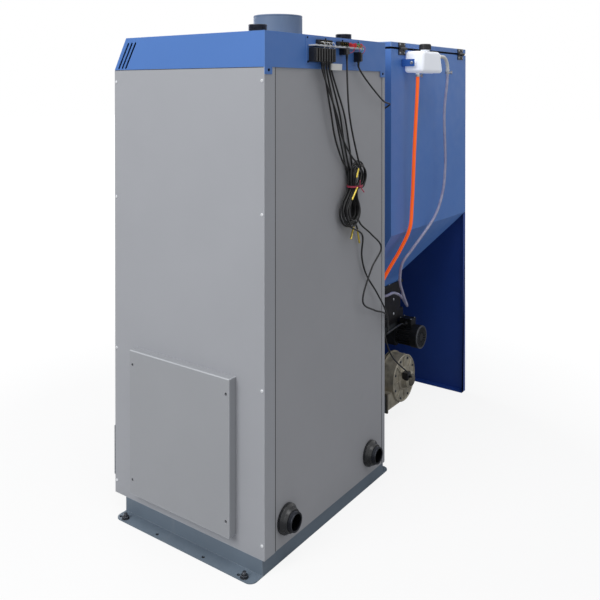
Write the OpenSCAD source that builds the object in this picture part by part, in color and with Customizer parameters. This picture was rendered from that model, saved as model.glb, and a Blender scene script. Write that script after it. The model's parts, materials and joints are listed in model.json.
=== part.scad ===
// Pellet boiler with a side hopper and feeder: steel cabinet, furnace and gas passes inside,
// two front doors and an ash drawer, burner on the left side, auger feeder, blower, and a
// blue fuel hopper with a hinged lid and a small water tank on its back.
// Millimetres, Z up. The origin is on the floor, at the middle of the four anchor holes.
// The front is -Y, the rear is +Y, and the hopper stands on the -X side.

/* [Cabinet] */
// Width of the casing
cabinet_w = 672; // [640:1:720]
// Depth of the casing
cabinet_d = 610; // [590:1:660]
// Height of the casing's top edge above the floor
casing_top = 1400; // [1380:1:1480]
// Thickness of the casing sheets
sheet = 2; // [1.5:0.1:3]
// Width of the right side panel's return on the rear
wrap_right = 48; // [30:1:80]
// Width of the left side panel's return on the rear
wrap_left = 18; // [14:1:80]
// Width of the side panels' returns on the front
front_lip = 25; // [15:1:30]

/* [Hood] */
// Height of the blue hood over the casing
hood_h = 100; // [90:1:130]
// How far the hood's front leans back
hood_slope = 54; // [40:1:70]
// Width of one vent slot in the hood's sides
slot_w = 7; // [4:0.5:9]
// Number of vent slots on each side
slot_count = 3; // [1:1:4]
// Distance from one vent slot to the next
slot_pitch = 16; // [14:0.5:20]
// Width of the corner tabs on the rear
tab_w = 34; // [24:1:40]
// How far the corner tabs reach down
tab_drop = 20; // [14:1:30]

/* [Base] */
// Height of the bent steel base
base_h = 46; // [40:1:60]
// Thickness of the base steel
base_t = 3; // [2:0.5:5]
// Width of the flange along each side
flange_w = 46; // [42:1:60]
// Distance of the anchor holes from the flanges' outer edges
anchor_edge = 14; // [12:1:18]
// Distance between the anchor holes along the boiler
anchor_y = 480; // [440:1:490]
// Diameter of an anchor hole
anchor_d = 11; // [8:0.5:13]
// Diameter of a levelling bolt
level_bolt_d = 12; // [8:1:12]

/* [Pressure vessel] */
// Width of the welded vessel
vessel_w = 540; // [520:1:580]
// Distance from the casing's front to the vessel's front
vessel_front_gap = 43; // [41:1:60]
// Distance from the vessel's rear to the casing's rear
vessel_rear_gap = 40; // [36:1:60]
// Thickness of a wall with its water jacket
jacket = 45; // [35:1:50]
// Height of a gas pass over a shelf
pass_h = 100; // [90:1:110]
// Outer diameter of the flue pipe
flue_d = 160; // [130:1:180]
// Wall of the flue pipe
flue_wall = 3; // [2:0.5:4]
// How far the flue pipe stands over the hood
flue_rise = 77; // [60:1:120]
// Bore of the four water stubs
stub_bore = 45; // [38:1:48]
// Outer diameter of the water stubs
stub_d = 56; // [53:1:60]
// Distance between the two water stubs of a pair
stub_spacing = 468; // [420:1:470]

/* [Doors] */
// Thickness of a door leaf
leaf_t = 30; // [24:1:34]
// Height of the furnace door
furnace_door_h = 402; // [380:1:420]
// Height of the cleaning door
cleaning_door_h = 354; // [320:1:370]
// Diameter of the door hinge pins
door_pin_d = 10; // [8:0.5:11]
// Length of a door lever
lever_l = 112; // [90:1:140]
// Width of the ash drawer's front
drawer_front_w = 600; // [560:1:620]
// Height of the ash drawer's front
drawer_front_h = 160; // [150:1:164]
// How far the ash drawer's front stands out
drawer_front_t = 47; // [35:1:55]

/* [Burner and feeder] */
// Height of the burner and auger axis above the floor
feed_z = 335; // [325:1:345]
// Outer diameter of the burner's fire tube
fire_tube_d = 150; // [136:1:156]
// Outer diameter of the feeder tube
feed_tube_d = 100; // [90:1:104]
// Wall of the feeder tube
feed_tube_wall = 4; // [3:0.5:6]
// Diameter of the auger's shaft
auger_shaft_d = 20; // [16:1:26]
// Length of one turn of the auger's flight
auger_pitch = 80; // [60:1:100]
// Gap between the flight and the tube
auger_gap = 2; // [1:0.5:4]
// Diameter of the gear motor
motor_d = 92; // [80:1:96]
// Diameter of the blower's round housing
blower_d = 186; // [170:1:190]
// Depth of the blower's housing
blower_t = 70; // [60:1:80]
// Number of blades on the blower's wheel
blower_blades = 16; // [8:1:20]

/* [Hopper] */
// Gap between the boiler's left side and the hopper
hopper_gap = 161; // [161:1:200]
// Width of the hopper
hopper_w = 685; // [660:1:760]
// How far the hopper's rear face lies behind the middle
hopper_rear_y = 242; // [230:1:250]
// Height of the hopper's rim
hopper_rim_z = 1489; // [1480:1:1520]
// Height at which the funnel starts
funnel_top_z = 796; // [760:1:840]
// Height of the funnel's lower end
funnel_low_z = 565; // [550:1:600]
// Length of the funnel's neck along the feeder
neck_l = 308; // [290:1:312]
// Width of the funnel's neck
neck_w = 150; // [130:1:160]
// Height of the lid's skirt
lid_h = 19; // [15:1:26]
// Gap between the rim and the lid that the seal fills
lid_gap = 8; // [6:0.5:10]

/* [Water tank] */
// Width of the tank at its bottom
tank_w = 178; // [160:1:190]
// Depth of the tank
tank_d = 81; // [78:1:90]
// Height of the tank
tank_h = 82; // [75:1:90]
// Diameter of the tank's cap
cap_d = 46; // [40:1:48]
// Outer diameter of the orange hose
orange_d = 13; // [10:0.5:14]
// Outer diameter of the clear hose
clear_d = 11; // [9:0.5:12]

/* [Cables] */
// Diameter of the black cables
cable_d = 6; // [5:0.5:6]
// Loops in each of the hank's layers
hank_loops = 2; // [1:1:2]
// Layers of the hank
hank_layers = 4; // [2:2:4]
// Reach of the hank's lower loops from the tie
hank_low_h = 122; // [112:1:128]
// Reach of the hank's upper loops from the tie
hank_high_h = 99; // [94:1:104]
// Length of the brass sleeve on a sensor
tip_l = 46; // [40:1:50]

/* [Hidden] */
$fn = 48;

seat = 0.3;
run = 0.05;
eps = 0.01;

half_w = cabinet_w / 2;
front_y = -cabinet_d / 2;
rear_y = cabinet_d / 2;
hood_top = casing_top + hood_h;
hood_t = 1.5;
hood_rear_y = rear_y + hood_t;

// Base
anchor_x = cabinet_w + 2 * (flange_w - anchor_edge);
base_front_y = front_y + 51;
base_rear_y = rear_y - 7;
level_y = [-anchor_y / 2 + 20, anchor_y / 2 + 20];
mid_hole_y = [-79, 108];
flange_r = 22;

// Vessel
vessel_x = vessel_w / 2;
vessel_front = front_y + vessel_front_gap;
vessel_rear = rear_y - vessel_rear_gap;
vessel_top = casing_top - 32;
vessel_front_t = 30;
boiler_plate = 6;
room_x = vessel_x - jacket;
room_front = vessel_front + vessel_front_t;
room_rear = vessel_rear - jacket;
room_floor = base_h + 16;
shelf_t = 30;
furnace_top = 760;
pass_gap = 90;
gas_top = furnace_top + 3 * shelf_t + 3 * pass_h + 20;
flue_x = -5;
flue_y = 92;
stub_x = stub_spacing / 2;
supply_y = 200;
supply_top = hood_top + 27;
return_z = 117;
return_out = 35;
burner_hole_d = fire_tube_d + 6;
burner_flange_d = 216;
burner_flange_t = 12;

// Casing openings
hatch_y = 90;
hatch_z0 = feed_z - 90;
hatch_z1 = feed_z + 90;
drawer_gate_x = 200;
drawer_gate_z0 = 76;
drawer_gate_z1 = 205;
gate_inset = 12;
screw_z = [casing_top - 38, casing_top - 405, base_h + 466, base_h + 40];
screw_r = 4.5;

// Side cover
cover_y = 203.5;
cover_z0 = 85;
cover_z1 = 532;
cover_t = 30;
cover_hole_d = 9;
cover_hole_y = cover_y - 12.5;
cover_hole_z = [131, 488];

// Doors
furnace_door_z = 250;
cleaning_door_z = 838;
leaf_left = -half_w + 74;
leaf_right = half_w - 91;
leaf_gap = 2;
door_gate_left = leaf_left + gate_inset;
door_gate_right = leaf_right - 20;
leaf_back = front_y - leaf_gap;
leaf_front = leaf_back - leaf_t;
hinge_x = leaf_right + 17;
hinge_y = front_y - 20;
knuckle_r = door_pin_d / 2 + 4;
knuckle_h = 31.4;
arm_t = 8;
latch_x = leaf_left + 34;
plug_x = -latch_x - 20;
plug_inset = 40;
seal_t = 7.7;
seal_w = 16;
spindle_d = 14;
tongue_y = front_y + 7;
tongue_t = 6;
tongue_l = 45;
keyhole = spindle_d + 2 * run;

// Ash drawer
drawer_z0 = 74;
drawer_x = 190;
drawer_floor_z = 84;
drawer_side_z = 190;
drawer_back_y = room_rear - 17;
drawer_wall = 3;
rail_x = [-165, 150];
rail_w = 15;

// Control panel, on the hood's slanted front
slope_l = norm([hood_slope, hood_h]);
panel_w = 220;
panel_h = 76;
panel_t = 10;
panel_back_w = 180;
panel_back_h = 56;
panel_back_t = 18;
screen_w = 92;
screen_h = 50;
screen_x = -42;
knob_x = 40;
knob_d = 32;
knob_shaft_d = 6;
switch_x = 78;
switch_w = 18;
switch_h = 28;
switch_axle_r = 2;

// Connection plate
plate_x0 = -159;
plate_x1 = 141;
plate_z0 = casing_top + 16;
plate_z1 = casing_top + 95;
plate_t = 2;
plate_y = hood_rear_y + plate_t;
strip_z = casing_top + 67;
strip_t = 4;
strip_d = 22;
plug_pitch = 14;
plug_count = 8;
plug_w = 11;
plug_h = 42;
plug_d = 26;
plug_z = casing_top + 20;
wide_plug_x = plate_x0 + 111;
wide_plug_w = 22;
left_plug_x = plate_x0 + 28;
left_plug_w = 14;
left_plug_h = 31;
red_terminal_x = [plate_x0 + 75, plate_x0 + 45, plate_x0 + 9];
green_terminal_x = plate_x0 + 25;
terminal_w = 12;
terminal_h = 13;
terminal_d = 14;

// Feeder
panel_out_x = -half_w;
burner_box_l = 154;
burner_box_y = 150;
burner_box_h = 270;
burner_box_z0 = feed_z - burner_box_h / 2;
burner_box_z1 = feed_z + burner_box_h / 2;
burner_wall = 3;
burner_box_x = panel_out_x - seat - burner_box_l;
fire_tube_end = -80;
feed_end = -250;
neck_offset = 83;
neck_x1 = -(half_w + hopper_gap + neck_offset);
neck_x0 = neck_x1 - neck_l;
feed_start = neck_x0;
feed_r = feed_tube_d / 2;
feed_bore_r = feed_r - feed_tube_wall;
flight_r = feed_bore_r - auger_gap;
flight_t = 5;
auger_end = feed_end - 12;
gearbox_l = 77;
gearbox_x = feed_start - gearbox_l;
gearbox_y = 48;
gearbox_low = 95;
gearbox_high = 57;
gearbox_z0 = feed_z - gearbox_low;
gearbox_z1 = feed_z + gearbox_high;
gearbox_foot = 12;
gearbox_rib = 4;
gearbox_rib_pitch = 13;
motor_x = gearbox_x + gearbox_l / 2 - 4;
motor_z = feed_z - 47;
motor_y0 = gearbox_y;
motor_y1 = 126;
cowl_y0 = 116;
cowl_y1 = 152;
fin_count = 18;
fan_shaft_d = 8;
blower_x = -775;
blower_z = 164;
blower_y1 = 150;
blower_y0 = blower_y1 - blower_t;
blower_wall = 4;
blower_r = blower_d / 2;
wheel_r = blower_r - 22;
outlet_x = -640;
outlet_h = 63;
outlet_y0 = blower_y0 + 6;
outlet_y1 = blower_y1 - 6;
duct_wall = 2.5;
duct_x1 = -440;
duct_up_x0 = -500;
drop_top_z = funnel_low_z - 37;
drop_low_z = feed_z + 10;
drop_wall = 3;
drop_bolt_x = neck_x0 + 63;
drop_bolt_z = [drop_top_z - 128, drop_top_z - 68];
drop_bolt_r = 6;

// Hopper
hopper_x1 = -(half_w + hopper_gap);
hopper_x0 = hopper_x1 - hopper_w;
bin_x0 = hopper_x0 + sheet;
hopper_front = front_y;
foot_flange = 35;
foot_return = 20;
rim_flange = 22;
lid_z0 = hopper_rim_z + lid_gap;
lid_z1 = lid_z0 + lid_h;
seal_inset = 12;
lid_seal_w = 12;
lid_axis_y = hopper_rear_y + 7;
lid_axis_z = hopper_rim_z + lid_gap / 2;
lid_hinge_x = [-578, -1119];
lid_hinge_w = 54;
lid_pin_d = 5;
lid_knuckle_r = 5;
lid_leaf_t = 2.5;

// Water tank
tank_x1 = -590;
tank_x0 = tank_x1 - tank_w;
tank_y0 = hopper_rear_y + sheet + seat;
tank_y1 = tank_y0 + tank_d;
tank_z0 = 1402;
tank_z1 = tank_z0 + tank_h;
tank_r = 10;
tank_wall = 3;
tank_taper = [10, 23];
cap_x = -660;
cap_y = tank_y1 - 26;
neck_r = 17;
cap_z0 = tank_z1 + 6;
cap_h = 22;
elbow_y = tank_y1 - 20;
elbow_z = tank_z1 - 16;
elbow_r = 7;
elbow_bend = 45;
elbow_x = -850;
elbow_end_x = tank_x0 + 12;
hose_top_z = 1400;
bracket_z0 = 1425;
bracket_h = 28;
bracket_x = -577;

// Routes of the hoses and cables, chosen by hand, from the end that they leave
orange_route = [
  [-620, 288, 1402], [-620, 288, 1370], [-607, 281, 1110], [-614, 268, 900], [-608, 262, 812],
  [-606, 222, 725], [-596, 175, 640], [-604, 124, 550], [-640, 95, 498], [-640, 75, 498]
];
clear_route = [
  [-850, 305, 1400], [-850, 304, 1372], [-846, 294, 1250], [-872, 286, 1030], [-860, 281, 925],
  [-815, 270, 835], [-690, 232, 716], [-650, 209, 664], [-664, 190, 596], [-724, 170, 528],
  [-806, 148, 452], [-836, 128, 446], [-824, 112, 478], [-770, 104, 504], [-726, 98, 502],
  [-720, 88, 500], [-720, 75, 500]
];
upper_route_a = [
  [68, 322, 1420], [68, 322, 1402], [26, 320, 1262], [2, 318, 1190], [-42, 316, 1118]
];
route_b = [
  [54, 322, 1420], [54, 322, 1402], [0, 318, 1262], [-80, 308, 1080], [-100, 308, 1030],
  [-117, 308, 926], [-119, 313, 902], [-110, 316, 894]
];
route_c = [
  [26, 320, 1420], [26, 320, 1402], [-60, 312, 1262], [-92, 308, 1180], [-128, 308, 1030],
  [-134, 308, 960], [-150, 316, 905], [-194, 332, 864], [-256, 336, 808], [-196, 334, 750],
  [-146, 330, 652], [-225, 327, 604], [-304, 320, 574], [-350, 308, 545], [-402, 262, 505],
  [-560, 210, 330], [-738, 202, 196], [-755, 192, 184], [-755, 183, 184]
];
route_d = [
  [-48, 330, 1446], [-48, 330, 1428], [-42, 343, 1262], [-92, 344, 1120], [-112, 344, 1080],
  [-106, 344, 1052], [-93, 344, 1035], [-86, 344, 1027]
];
route_e = [
  [82, 324, 1420], [82, 324, 1402], [26, 340, 1262], [-2, 343, 1190], [-50, 346, 1130],
  [-86, 346, 1104], [-94, 346, 1092], [-91, 346, 1085]
];
route_f = [
  [40, 322, 1420], [40, 322, 1402], [-30, 315, 1262], [-64, 308, 1180], [-114, 308, 1030],
  [-124, 308, 940], [-131, 312, 904], [-134, 315, 892], [-137, 315, 882]
];
lower_route_a = [
  [-150, 326, 864], [-162, 316, 796], [-194, 313, 730], [-256, 322, 650],
  [-296, 333, 580],
  [-330, 322, 520], [-356, 308, 500], [-412, 272, 468], [-720, 165, 400], [-850, 106, 356],
  [-885, 90, 342], [-908, 90, 342]
];
side_route = [
  [-131, 322, 1427], [-131, 322, 1412], [-286, 326, 1300],
  [-350, 316, 1286], [-358, 285, 1270], [-half_w, 285, 1270]
];

function unit(v) = v / norm(v);
// Direction of a route at its point i, halfway between the stretches on each side
function heading(p, i) =
  i == 0 ? unit(p[1] - p[0])
  : i == len(p) - 1 ? unit(p[i] - p[i - 1])
  : unit(unit(p[i] - p[i - 1]) + unit(p[i + 1] - p[i]));
// Sideways directions at a route's points, carried along it without twist
function side_of(v, t) = unit(v - (v * t) * t);
function first_side(t) = side_of(abs(t[0]) > 0.8 ? [0, 1, 0] : [1, 0, 0], t);
function sideways(p, i = 0, s = []) =
  i == len(p) ? s
  : sideways(p, i + 1, concat(s, [
    i == 0 ? first_side(heading(p, 0)) : side_of(s[i - 1], heading(p, i))
  ]));

// Tube of n sides swept along the points p
module tube(p, r, n = 8) {
  s = sideways(p);
  ring_points = [
    for (i = [0 : len(p) - 1])
      let (t = heading(p, i), a = s[i], b = cross(t, a))
        for (k = [0 : n - 1])
          p[i] + r * (cos(360 * k / n) * a + sin(360 * k / n) * b)
  ];
  walls = [
    for (i = [0 : len(p) - 2])
      for (k = [0 : n - 1])
        let (m = (k + 1) % n)
          for (f = [
            [i * n + k, (i + 1) * n + m, i * n + m],
            [i * n + k, (i + 1) * n + k, (i + 1) * n + m]
          ]) f
  ];
  last = (len(p) - 1) * n;
  caps = [
    [for (k = [0 : n - 1]) k],
    [for (k = [0 : n - 1]) last + n - 1 - k]
  ];
  polyhedron(points = ring_points, faces = concat(walls, caps), convexity = 10);
}

// Extrudes a profile drawn in Y and Z along X
module along_x(x0, x1) {
  translate([x0, 0, 0])
    rotate([90, 0, 90])
      linear_extrude(height = x1 - x0)
        children();
}

// Box between two corners
module block(a, b) {
  translate(a)
    cube(b - a);
}

// Cylinder with its axis along X
module rod_x(x0, x1, y, z, r) {
  translate([x0, y, z])
    rotate([0, 90, 0])
      cylinder(h = x1 - x0, r = r);
}

// Cylinder with its axis along Y
module rod_y(y0, y1, x, z, r) {
  translate([x, y0, z])
    rotate([-90, 0, 0])
      cylinder(h = y1 - y0, r = r);
}

// Flat rectangle with round corners, centred
module round_plate(w, h, r) {
  square([w - 2 * r, h], center = true);
  square([w, h - 2 * r], center = true);
  for (x = [-1, 1], y = [-1, 1])
    translate([x * (w / 2 - r), y * (h / 2 - r)])
      circle(r);
}

// Outline of the base's flanges, with round outer corners
module flange_outline() {
  depth = base_rear_y - base_front_y;
  translate([0, (base_front_y + base_rear_y) / 2])
    round_plate(2 * (half_w + flange_w), depth, flange_r);
}

module base_frame() {
  color("#4B5560")
    difference() {
      union() {
        linear_extrude(height = base_t)
          difference() {
            flange_outline();
            translate([-half_w + base_t, base_front_y + base_t])
              square([cabinet_w - 2 * base_t, base_rear_y - base_front_y - 2 * base_t]);
          }
        block([-half_w, base_front_y, 0], [half_w, base_rear_y, base_h]);
      }
      block(
        [-half_w + base_t, base_front_y + base_t, -1],
        [half_w - base_t, base_rear_y - base_t, base_h - base_t]
      );
      for (x = [-1, 1]) {
        for (y = concat([-anchor_y / 2, anchor_y / 2], mid_hole_y))
          translate([x * anchor_x / 2, y, -1])
            cylinder(h = base_t + 2, d = anchor_d);
        for (y = level_y)
          translate([x * anchor_x / 2, y, -1])
            cylinder(h = base_t + 2, d = level_bolt_d + 2 * seat);
      }
    }
}

module levelling_bolts() {
  nut_h = 8;
  color("#20242A")
    for (x = [-1, 1], y = level_y)
      translate([x * anchor_x / 2, y, 0]) {
        cylinder(h = base_t + nut_h + 8, d = level_bolt_d);
        translate([0, 0, base_t])
          cylinder(h = nut_h, d = level_bolt_d * 1.75, $fn = 6);
      }
}

// Round holes for the burner, the flue and the water stubs, r larger than what passes
module vessel_ports(r) {
  rod_x(-half_w - 5, -room_x + 1, 0, feed_z, burner_hole_d / 2 + r);
  translate([flue_x, flue_y, gas_top - 1])
    cylinder(h = casing_top - gas_top + 40, d = flue_d + 2 * r);
  for (x = [-1, 1]) {
    translate([x * stub_x, supply_y, vessel_top - 30])
      cylinder(h = 100, d = stub_d + 2 * r);
    rod_y(vessel_rear - 20, rear_y + 10, x * stub_x, return_z, stub_d / 2 + r);
  }
}

// Openings through the vessel's front, made d larger all round
module vessel_gates(d) {
  block(
    [-drawer_gate_x - d, vessel_front - 1, room_floor - d],
    [drawer_gate_x + d, room_front + 1, drawer_gate_z1 + d]
  );
  for (g = [[furnace_door_z, furnace_door_h], [cleaning_door_z, cleaning_door_h]])
    block(
      [-plug_x + seal_w + 2 - d, vessel_front - 1, g[0] + plug_inset + seal_w - d],
      [plug_x - seal_w - 2 + d, room_front + 1, g[0] + g[1] - plug_inset - seal_w + d]
    );
}

// The three shelves that turn the smoke to and fro, made d smaller all round and w wider
module shelves(d, w) {
  for (i = [0 : 2]) {
    z = furnace_top + i * (shelf_t + pass_h);
    block(
      [-room_x - w, room_front + (i == 1 ? pass_gap : -1) + d, z + d],
      [room_x + w, room_rear - (i == 1 ? -1 : pass_gap) - d, z + shelf_t - d]
    );
  }
}

// Water between the vessel's outer plates and its dry walls, and inside the shelves
module water_space() {
  p = boiler_plate;
  difference() {
    block(
      [-vessel_x + p, vessel_front + p, base_h + p],
      [vessel_x - p, vessel_rear - p, vessel_top - p]
    );
    block([-room_x - p, room_front - p, base_h], [room_x + p, room_rear + p, gas_top + p]);
    vessel_gates(p);
    rod_x(-vessel_x, -room_x, 0, feed_z, burner_hole_d / 2 + p);
    translate([flue_x, flue_y, gas_top])
      cylinder(h = vessel_top - gas_top, d = flue_d + 2 * p);
  }
  shelves(p, p + 1);
}

module boiler_vessel() {
  color("#3A3F45")
    difference() {
      union() {
        difference() {
          block([-vessel_x, vessel_front, base_h], [vessel_x, vessel_rear, vessel_top]);
          block([-room_x, room_front, room_floor], [room_x, room_rear, gas_top]);
        }
        shelves(0, 1);
        for (x = rail_x)
          block(
            [x, vessel_front + 1, room_floor - 1],
            [x + rail_w, room_rear + 1, drawer_floor_z - seat]
          );
        rod_x(vessel_x - 1, vessel_x + burner_flange_t, 0, feed_z, burner_flange_d / 2);
      }
      water_space();
      vessel_gates(0);
      vessel_ports(0);
    }
}

module insulation() {
  color("#C9B98A")
    difference() {
      block(
        [-half_w + sheet + seat, vessel_front + 2, base_h + seat],
        [half_w - sheet - seat, rear_y - 2 * sheet - seat, casing_top - sheet - 1]
      );
      block(
        [-vessel_x - seat, vessel_front - 1, base_h - 1],
        [vessel_x + seat, vessel_rear + seat, vessel_top + seat]
      );
      rod_x(vessel_x - 1, half_w, 0, feed_z, burner_flange_d / 2 + 1);
      rod_x(-half_w, -vessel_x + 1, 0, feed_z, burner_flange_d / 2 + 1);
      vessel_ports(1);
    }
}

// Side panel for the right side, with its returns on the front, the rear and the top
module side_panel(wrap) {
  difference() {
    union() {
      block([half_w - sheet, front_y, base_h], [half_w, rear_y, casing_top]);
      block([half_w - front_lip, front_y, base_h], [half_w, front_y + sheet, casing_top]);
      block([half_w - wrap, rear_y - sheet, base_h], [half_w, rear_y, casing_top]);
      block(
        [half_w - front_lip, front_y + 2 * sheet + 3, casing_top - sheet],
        [half_w, rear_y - 2 * sheet - 3, casing_top]
      );
    }
    block([half_w - sheet - 1, -hatch_y, hatch_z0], [half_w + 1, hatch_y, hatch_z1]);
  }
}

module side_panel_right() {
  color("#AEB4BC")
    side_panel(wrap_right);
}

module side_panel_left() {
  color("#AEB4BC")
    mirror([1, 0, 0])
      side_panel(wrap_left);
}

module rear_panel() {
  color("#86878A")
    difference() {
      block(
        [-half_w + sheet + 1, rear_y - 2 * sheet, base_h],
        [half_w - sheet - 1, rear_y - sheet, casing_top]
      );
      for (x = [-1, 1])
        rod_y(rear_y - 3 * sheet, rear_y, x * stub_x, return_z, stub_d / 2 + 1);
    }
}

module front_panel() {
  color("#AEB4BC")
    difference() {
      block(
        [-half_w + sheet + 1, front_y + sheet, base_h],
        [half_w - sheet - 1, front_y + 2 * sheet, casing_top]
      );
      block(
        [-drawer_gate_x, front_y - 1, drawer_gate_z0],
        [drawer_gate_x, front_y + 3 * sheet, drawer_gate_z1]
      );
      for (d = [[furnace_door_z, furnace_door_h], [cleaning_door_z, cleaning_door_h]])
        block(
          [door_gate_left, front_y - 1, d[0] + gate_inset],
          [door_gate_right, front_y + 3 * sheet, d[0] + d[1] - gate_inset]
        );
    }
}

// Moves children onto the middle of the hood's slanted front, with Z pointing out of it
module on_slope() {
  translate([0, front_y + hood_slope / 2, casing_top + hood_h / 2])
    rotate([atan2(hood_h, hood_slope), 0, 0])
      children();
}

module vent_slots() {
  slot_top_z = hood_top - 18;
  slot_low_z = casing_top + 6;
  lean = atan2(hood_slope, hood_h) + 2;
  slot_l = (slot_top_z - slot_low_z) / cos(lean);
  for (i = [0 : slot_count - 1]) {
    top_y = front_y + 65 + i * slot_pitch;
    along_x(-half_w - 1, half_w + 1)
      translate([top_y, slot_top_z])
        rotate(-lean) {
          translate([-slot_w / 2, -slot_l])
            square([slot_w, slot_l]);
          circle(d = slot_w);
          translate([0, -slot_l])
            circle(d = slot_w);
        }
  }
}

module hood() {
  lean_t = sheet * slope_l / hood_h;
  color("#4F76B5")
    difference() {
      union() {
        along_x(-half_w, half_w)
          polygon([
            [front_y, casing_top], [hood_rear_y, casing_top],
            [hood_rear_y, hood_top], [front_y + hood_slope, hood_top]
          ]);
        for (x = [-half_w, half_w - tab_w])
          block([x, rear_y, casing_top - tab_drop], [x + tab_w, hood_rear_y, casing_top + 1]);
      }
      along_x(-half_w + sheet, half_w - sheet)
        polygon([
          [front_y + lean_t, casing_top - 1 + eps], [rear_y - sheet, casing_top - 1 + eps],
          [rear_y - sheet, hood_top - sheet],
          [front_y + lean_t + hood_slope * (hood_h - sheet) / hood_h, hood_top - sheet]
        ]);
      vent_slots();
      translate([flue_x, flue_y, casing_top])
        cylinder(h = hood_h + 10, d = flue_d + 2);
      for (x = [-1, 1])
        translate([x * stub_x, supply_y, casing_top])
          cylinder(h = hood_h + 10, d = stub_d + 2);
      block(
        [plate_x0 + 14, rear_y - 10, plate_z0 + 9],
        [plate_x1 - 14, rear_y + 10, plate_z1 - 8]
      );
      on_slope()
        translate([-panel_back_w / 2 - 1, -panel_back_h / 2 - 1, -20])
          cube([panel_back_w + 2, panel_back_h + 2, 30]);
    }
}

// Domed screw head of radius r, standing on the plane Z = 0
module screw_head(r) {
  dome = r * 0.55;
  ball = (r * r + dome * dome) / (2 * dome);
  intersection() {
    translate([0, 0, dome - ball])
      sphere(ball);
    cylinder(h = dome, r = r);
  }
}

module casing_screws() {
  color("#E4E6E8") {
    for (s = [-1, 1], y = [front_y + 8, rear_y - 8], z = screw_z)
      translate([s * half_w, y, z])
        rotate([0, s * 90, 0])
          screw_head(screw_r);
    for (z = drop_bolt_z)
      translate([drop_bolt_x, neck_w / 2, z])
        rotate([-90, 0, 0])
          screw_head(drop_bolt_r);
  }
}

module side_cover() {
  color("#A9AFB6")
    difference() {
      union() {
        difference() {
          block([half_w, -cover_y, cover_z0], [half_w + cover_t, cover_y, cover_z1]);
          block(
            [half_w - 1, -cover_y + sheet, cover_z0 + sheet],
            [half_w + cover_t - sheet, cover_y - sheet, cover_z1 - sheet]
          );
        }
        for (y = [-1, 1], z = cover_hole_z)
          rod_x(half_w, half_w + cover_t - 1, y * cover_hole_y, z, cover_hole_d / 2 + 2.5);
      }
      for (y = [-1, 1], z = cover_hole_z)
        rod_x(half_w - 1, half_w + cover_t + 1, y * cover_hole_y, z, cover_hole_d / 2);
    }
}

module black_screws() {
  cover_screw_l = cover_t - 7;
  plate_screw_x = [plate_x1 - 5, plate_x1 - 101, plate_x0 + 103, plate_x0 + 7];
  color("#15181D") {
    for (y = [-1, 1], z = cover_hole_z)
      rod_x(half_w, half_w + cover_screw_l, y * cover_hole_y, z, cover_hole_d / 2 - 0.5);
    for (x = [-1, 1])
      translate([x * (half_w - 18), hood_rear_y, casing_top - 8])
        rotate([-90, 0, 0])
          screw_head(4);
    for (x = plate_screw_x)
      translate([x, plate_y, plate_z1 - 3.2])
        rotate([-90, 0, 0])
          screw_head(3);
    translate([plate_x1 - 7, plate_y, plate_z0 + 4])
      rotate([-90, 0, 0])
        screw_head(3.5);
  }
}

// The pipe's upper end is a little wider: the next pipe is pushed over it, down to the step
flue_step = 1.4;
module flue_pipe() {
  step_z = hood_top + 3;
  color("#4A586C")
    translate([flue_x, flue_y, 0])
      difference() {
        union() {
          translate([0, 0, gas_top])
            cylinder(h = step_z - gas_top + 1, d = flue_d - 2 * seat - flue_step, $fn = 96);
          translate([0, 0, step_z])
            cylinder(h = hood_top + flue_rise - step_z, d = flue_d - 2 * seat, $fn = 96);
        }
        translate([0, 0, gas_top - 1])
          cylinder(h = hood_top + flue_rise - gas_top + 2, d = flue_d - 2 * flue_wall, $fn = 96);
      }
}

// Pipe stub along Z, open at both ends, for the heating pipes
rosette_w = 14.5;
rosette_h = 26;
module stub(l) {
  difference() {
    cylinder(h = l, d = stub_d - 2 * seat);
    translate([0, 0, -1])
      cylinder(h = l + 2, d = stub_bore);
  }
}

module pipe_stubs() {
  color("#23262B") {
    for (x = [-1, 1]) {
      translate([x * stub_x, supply_y, vessel_top - 30])
        stub(supply_top - vessel_top + 30);
      translate([x * stub_x, vessel_rear - 20, return_z])
        rotate([-90, 0, 0])
          stub(rear_y + return_out - vessel_rear + 20);
    }
  }
}

module pipe_rosettes() {
  color("#191B1F")
    for (x = [-1, 1])
      translate([x * stub_x, rear_y - sheet, return_z])
        rotate([-90, 0, 0])
          rotate_extrude($fn = 64)
            translate([stub_d / 2, 0])
              polygon([
                [0, 0], [rosette_w, 0], [rosette_w, 9], [rosette_w - 4.5, 14], [4, rosette_h],
                [0, rosette_h]
              ]);
}

module connection_plate() {
  color("#4A6AA8")
    difference() {
      block([plate_x0, hood_rear_y, plate_z0], [plate_x1, plate_y, plate_z1]);
      for (s = socket_rows)
        block(
          [s[0] + 2, hood_rear_y - 1, s[2] + 2],
          [s[1] - 2, plate_y + 1, s[3] - 2]
        );
    }
}

// The upper row's sockets and connectors: from X, to X, from Z, to Z
socket_z0 = strip_z + strip_t + 1;
socket_rows = [
  [23, 93, socket_z0, socket_z0 + 15.5],
  [-71, -18, socket_z0, socket_z0 + 15.5]
];

module connector_strip() {
  color("#C9CCD2")
    block(
      [plate_x0 + 8, plate_y, strip_z],
      [plate_x1 - 11, plate_y + strip_d, strip_z + strip_t]
    );
}

module socket_blocks() {
  color("#15171B")
    for (s = socket_rows)
      difference() {
        union() {
          block([s[0], plate_y, s[2]], [s[1], plate_y + 15, s[3]]);
          block(
            [s[0] + 2 + seat, hood_rear_y - 6, s[2] + 2 + seat],
            [s[1] - 2 - seat, plate_y + 1, s[3] - 2 - seat]
          );
        }
        block([s[0] + 2, plate_y + 5, s[2] + 4], [s[1] - 2, plate_y + 16, s[3] - 4]);
      }
}

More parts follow.
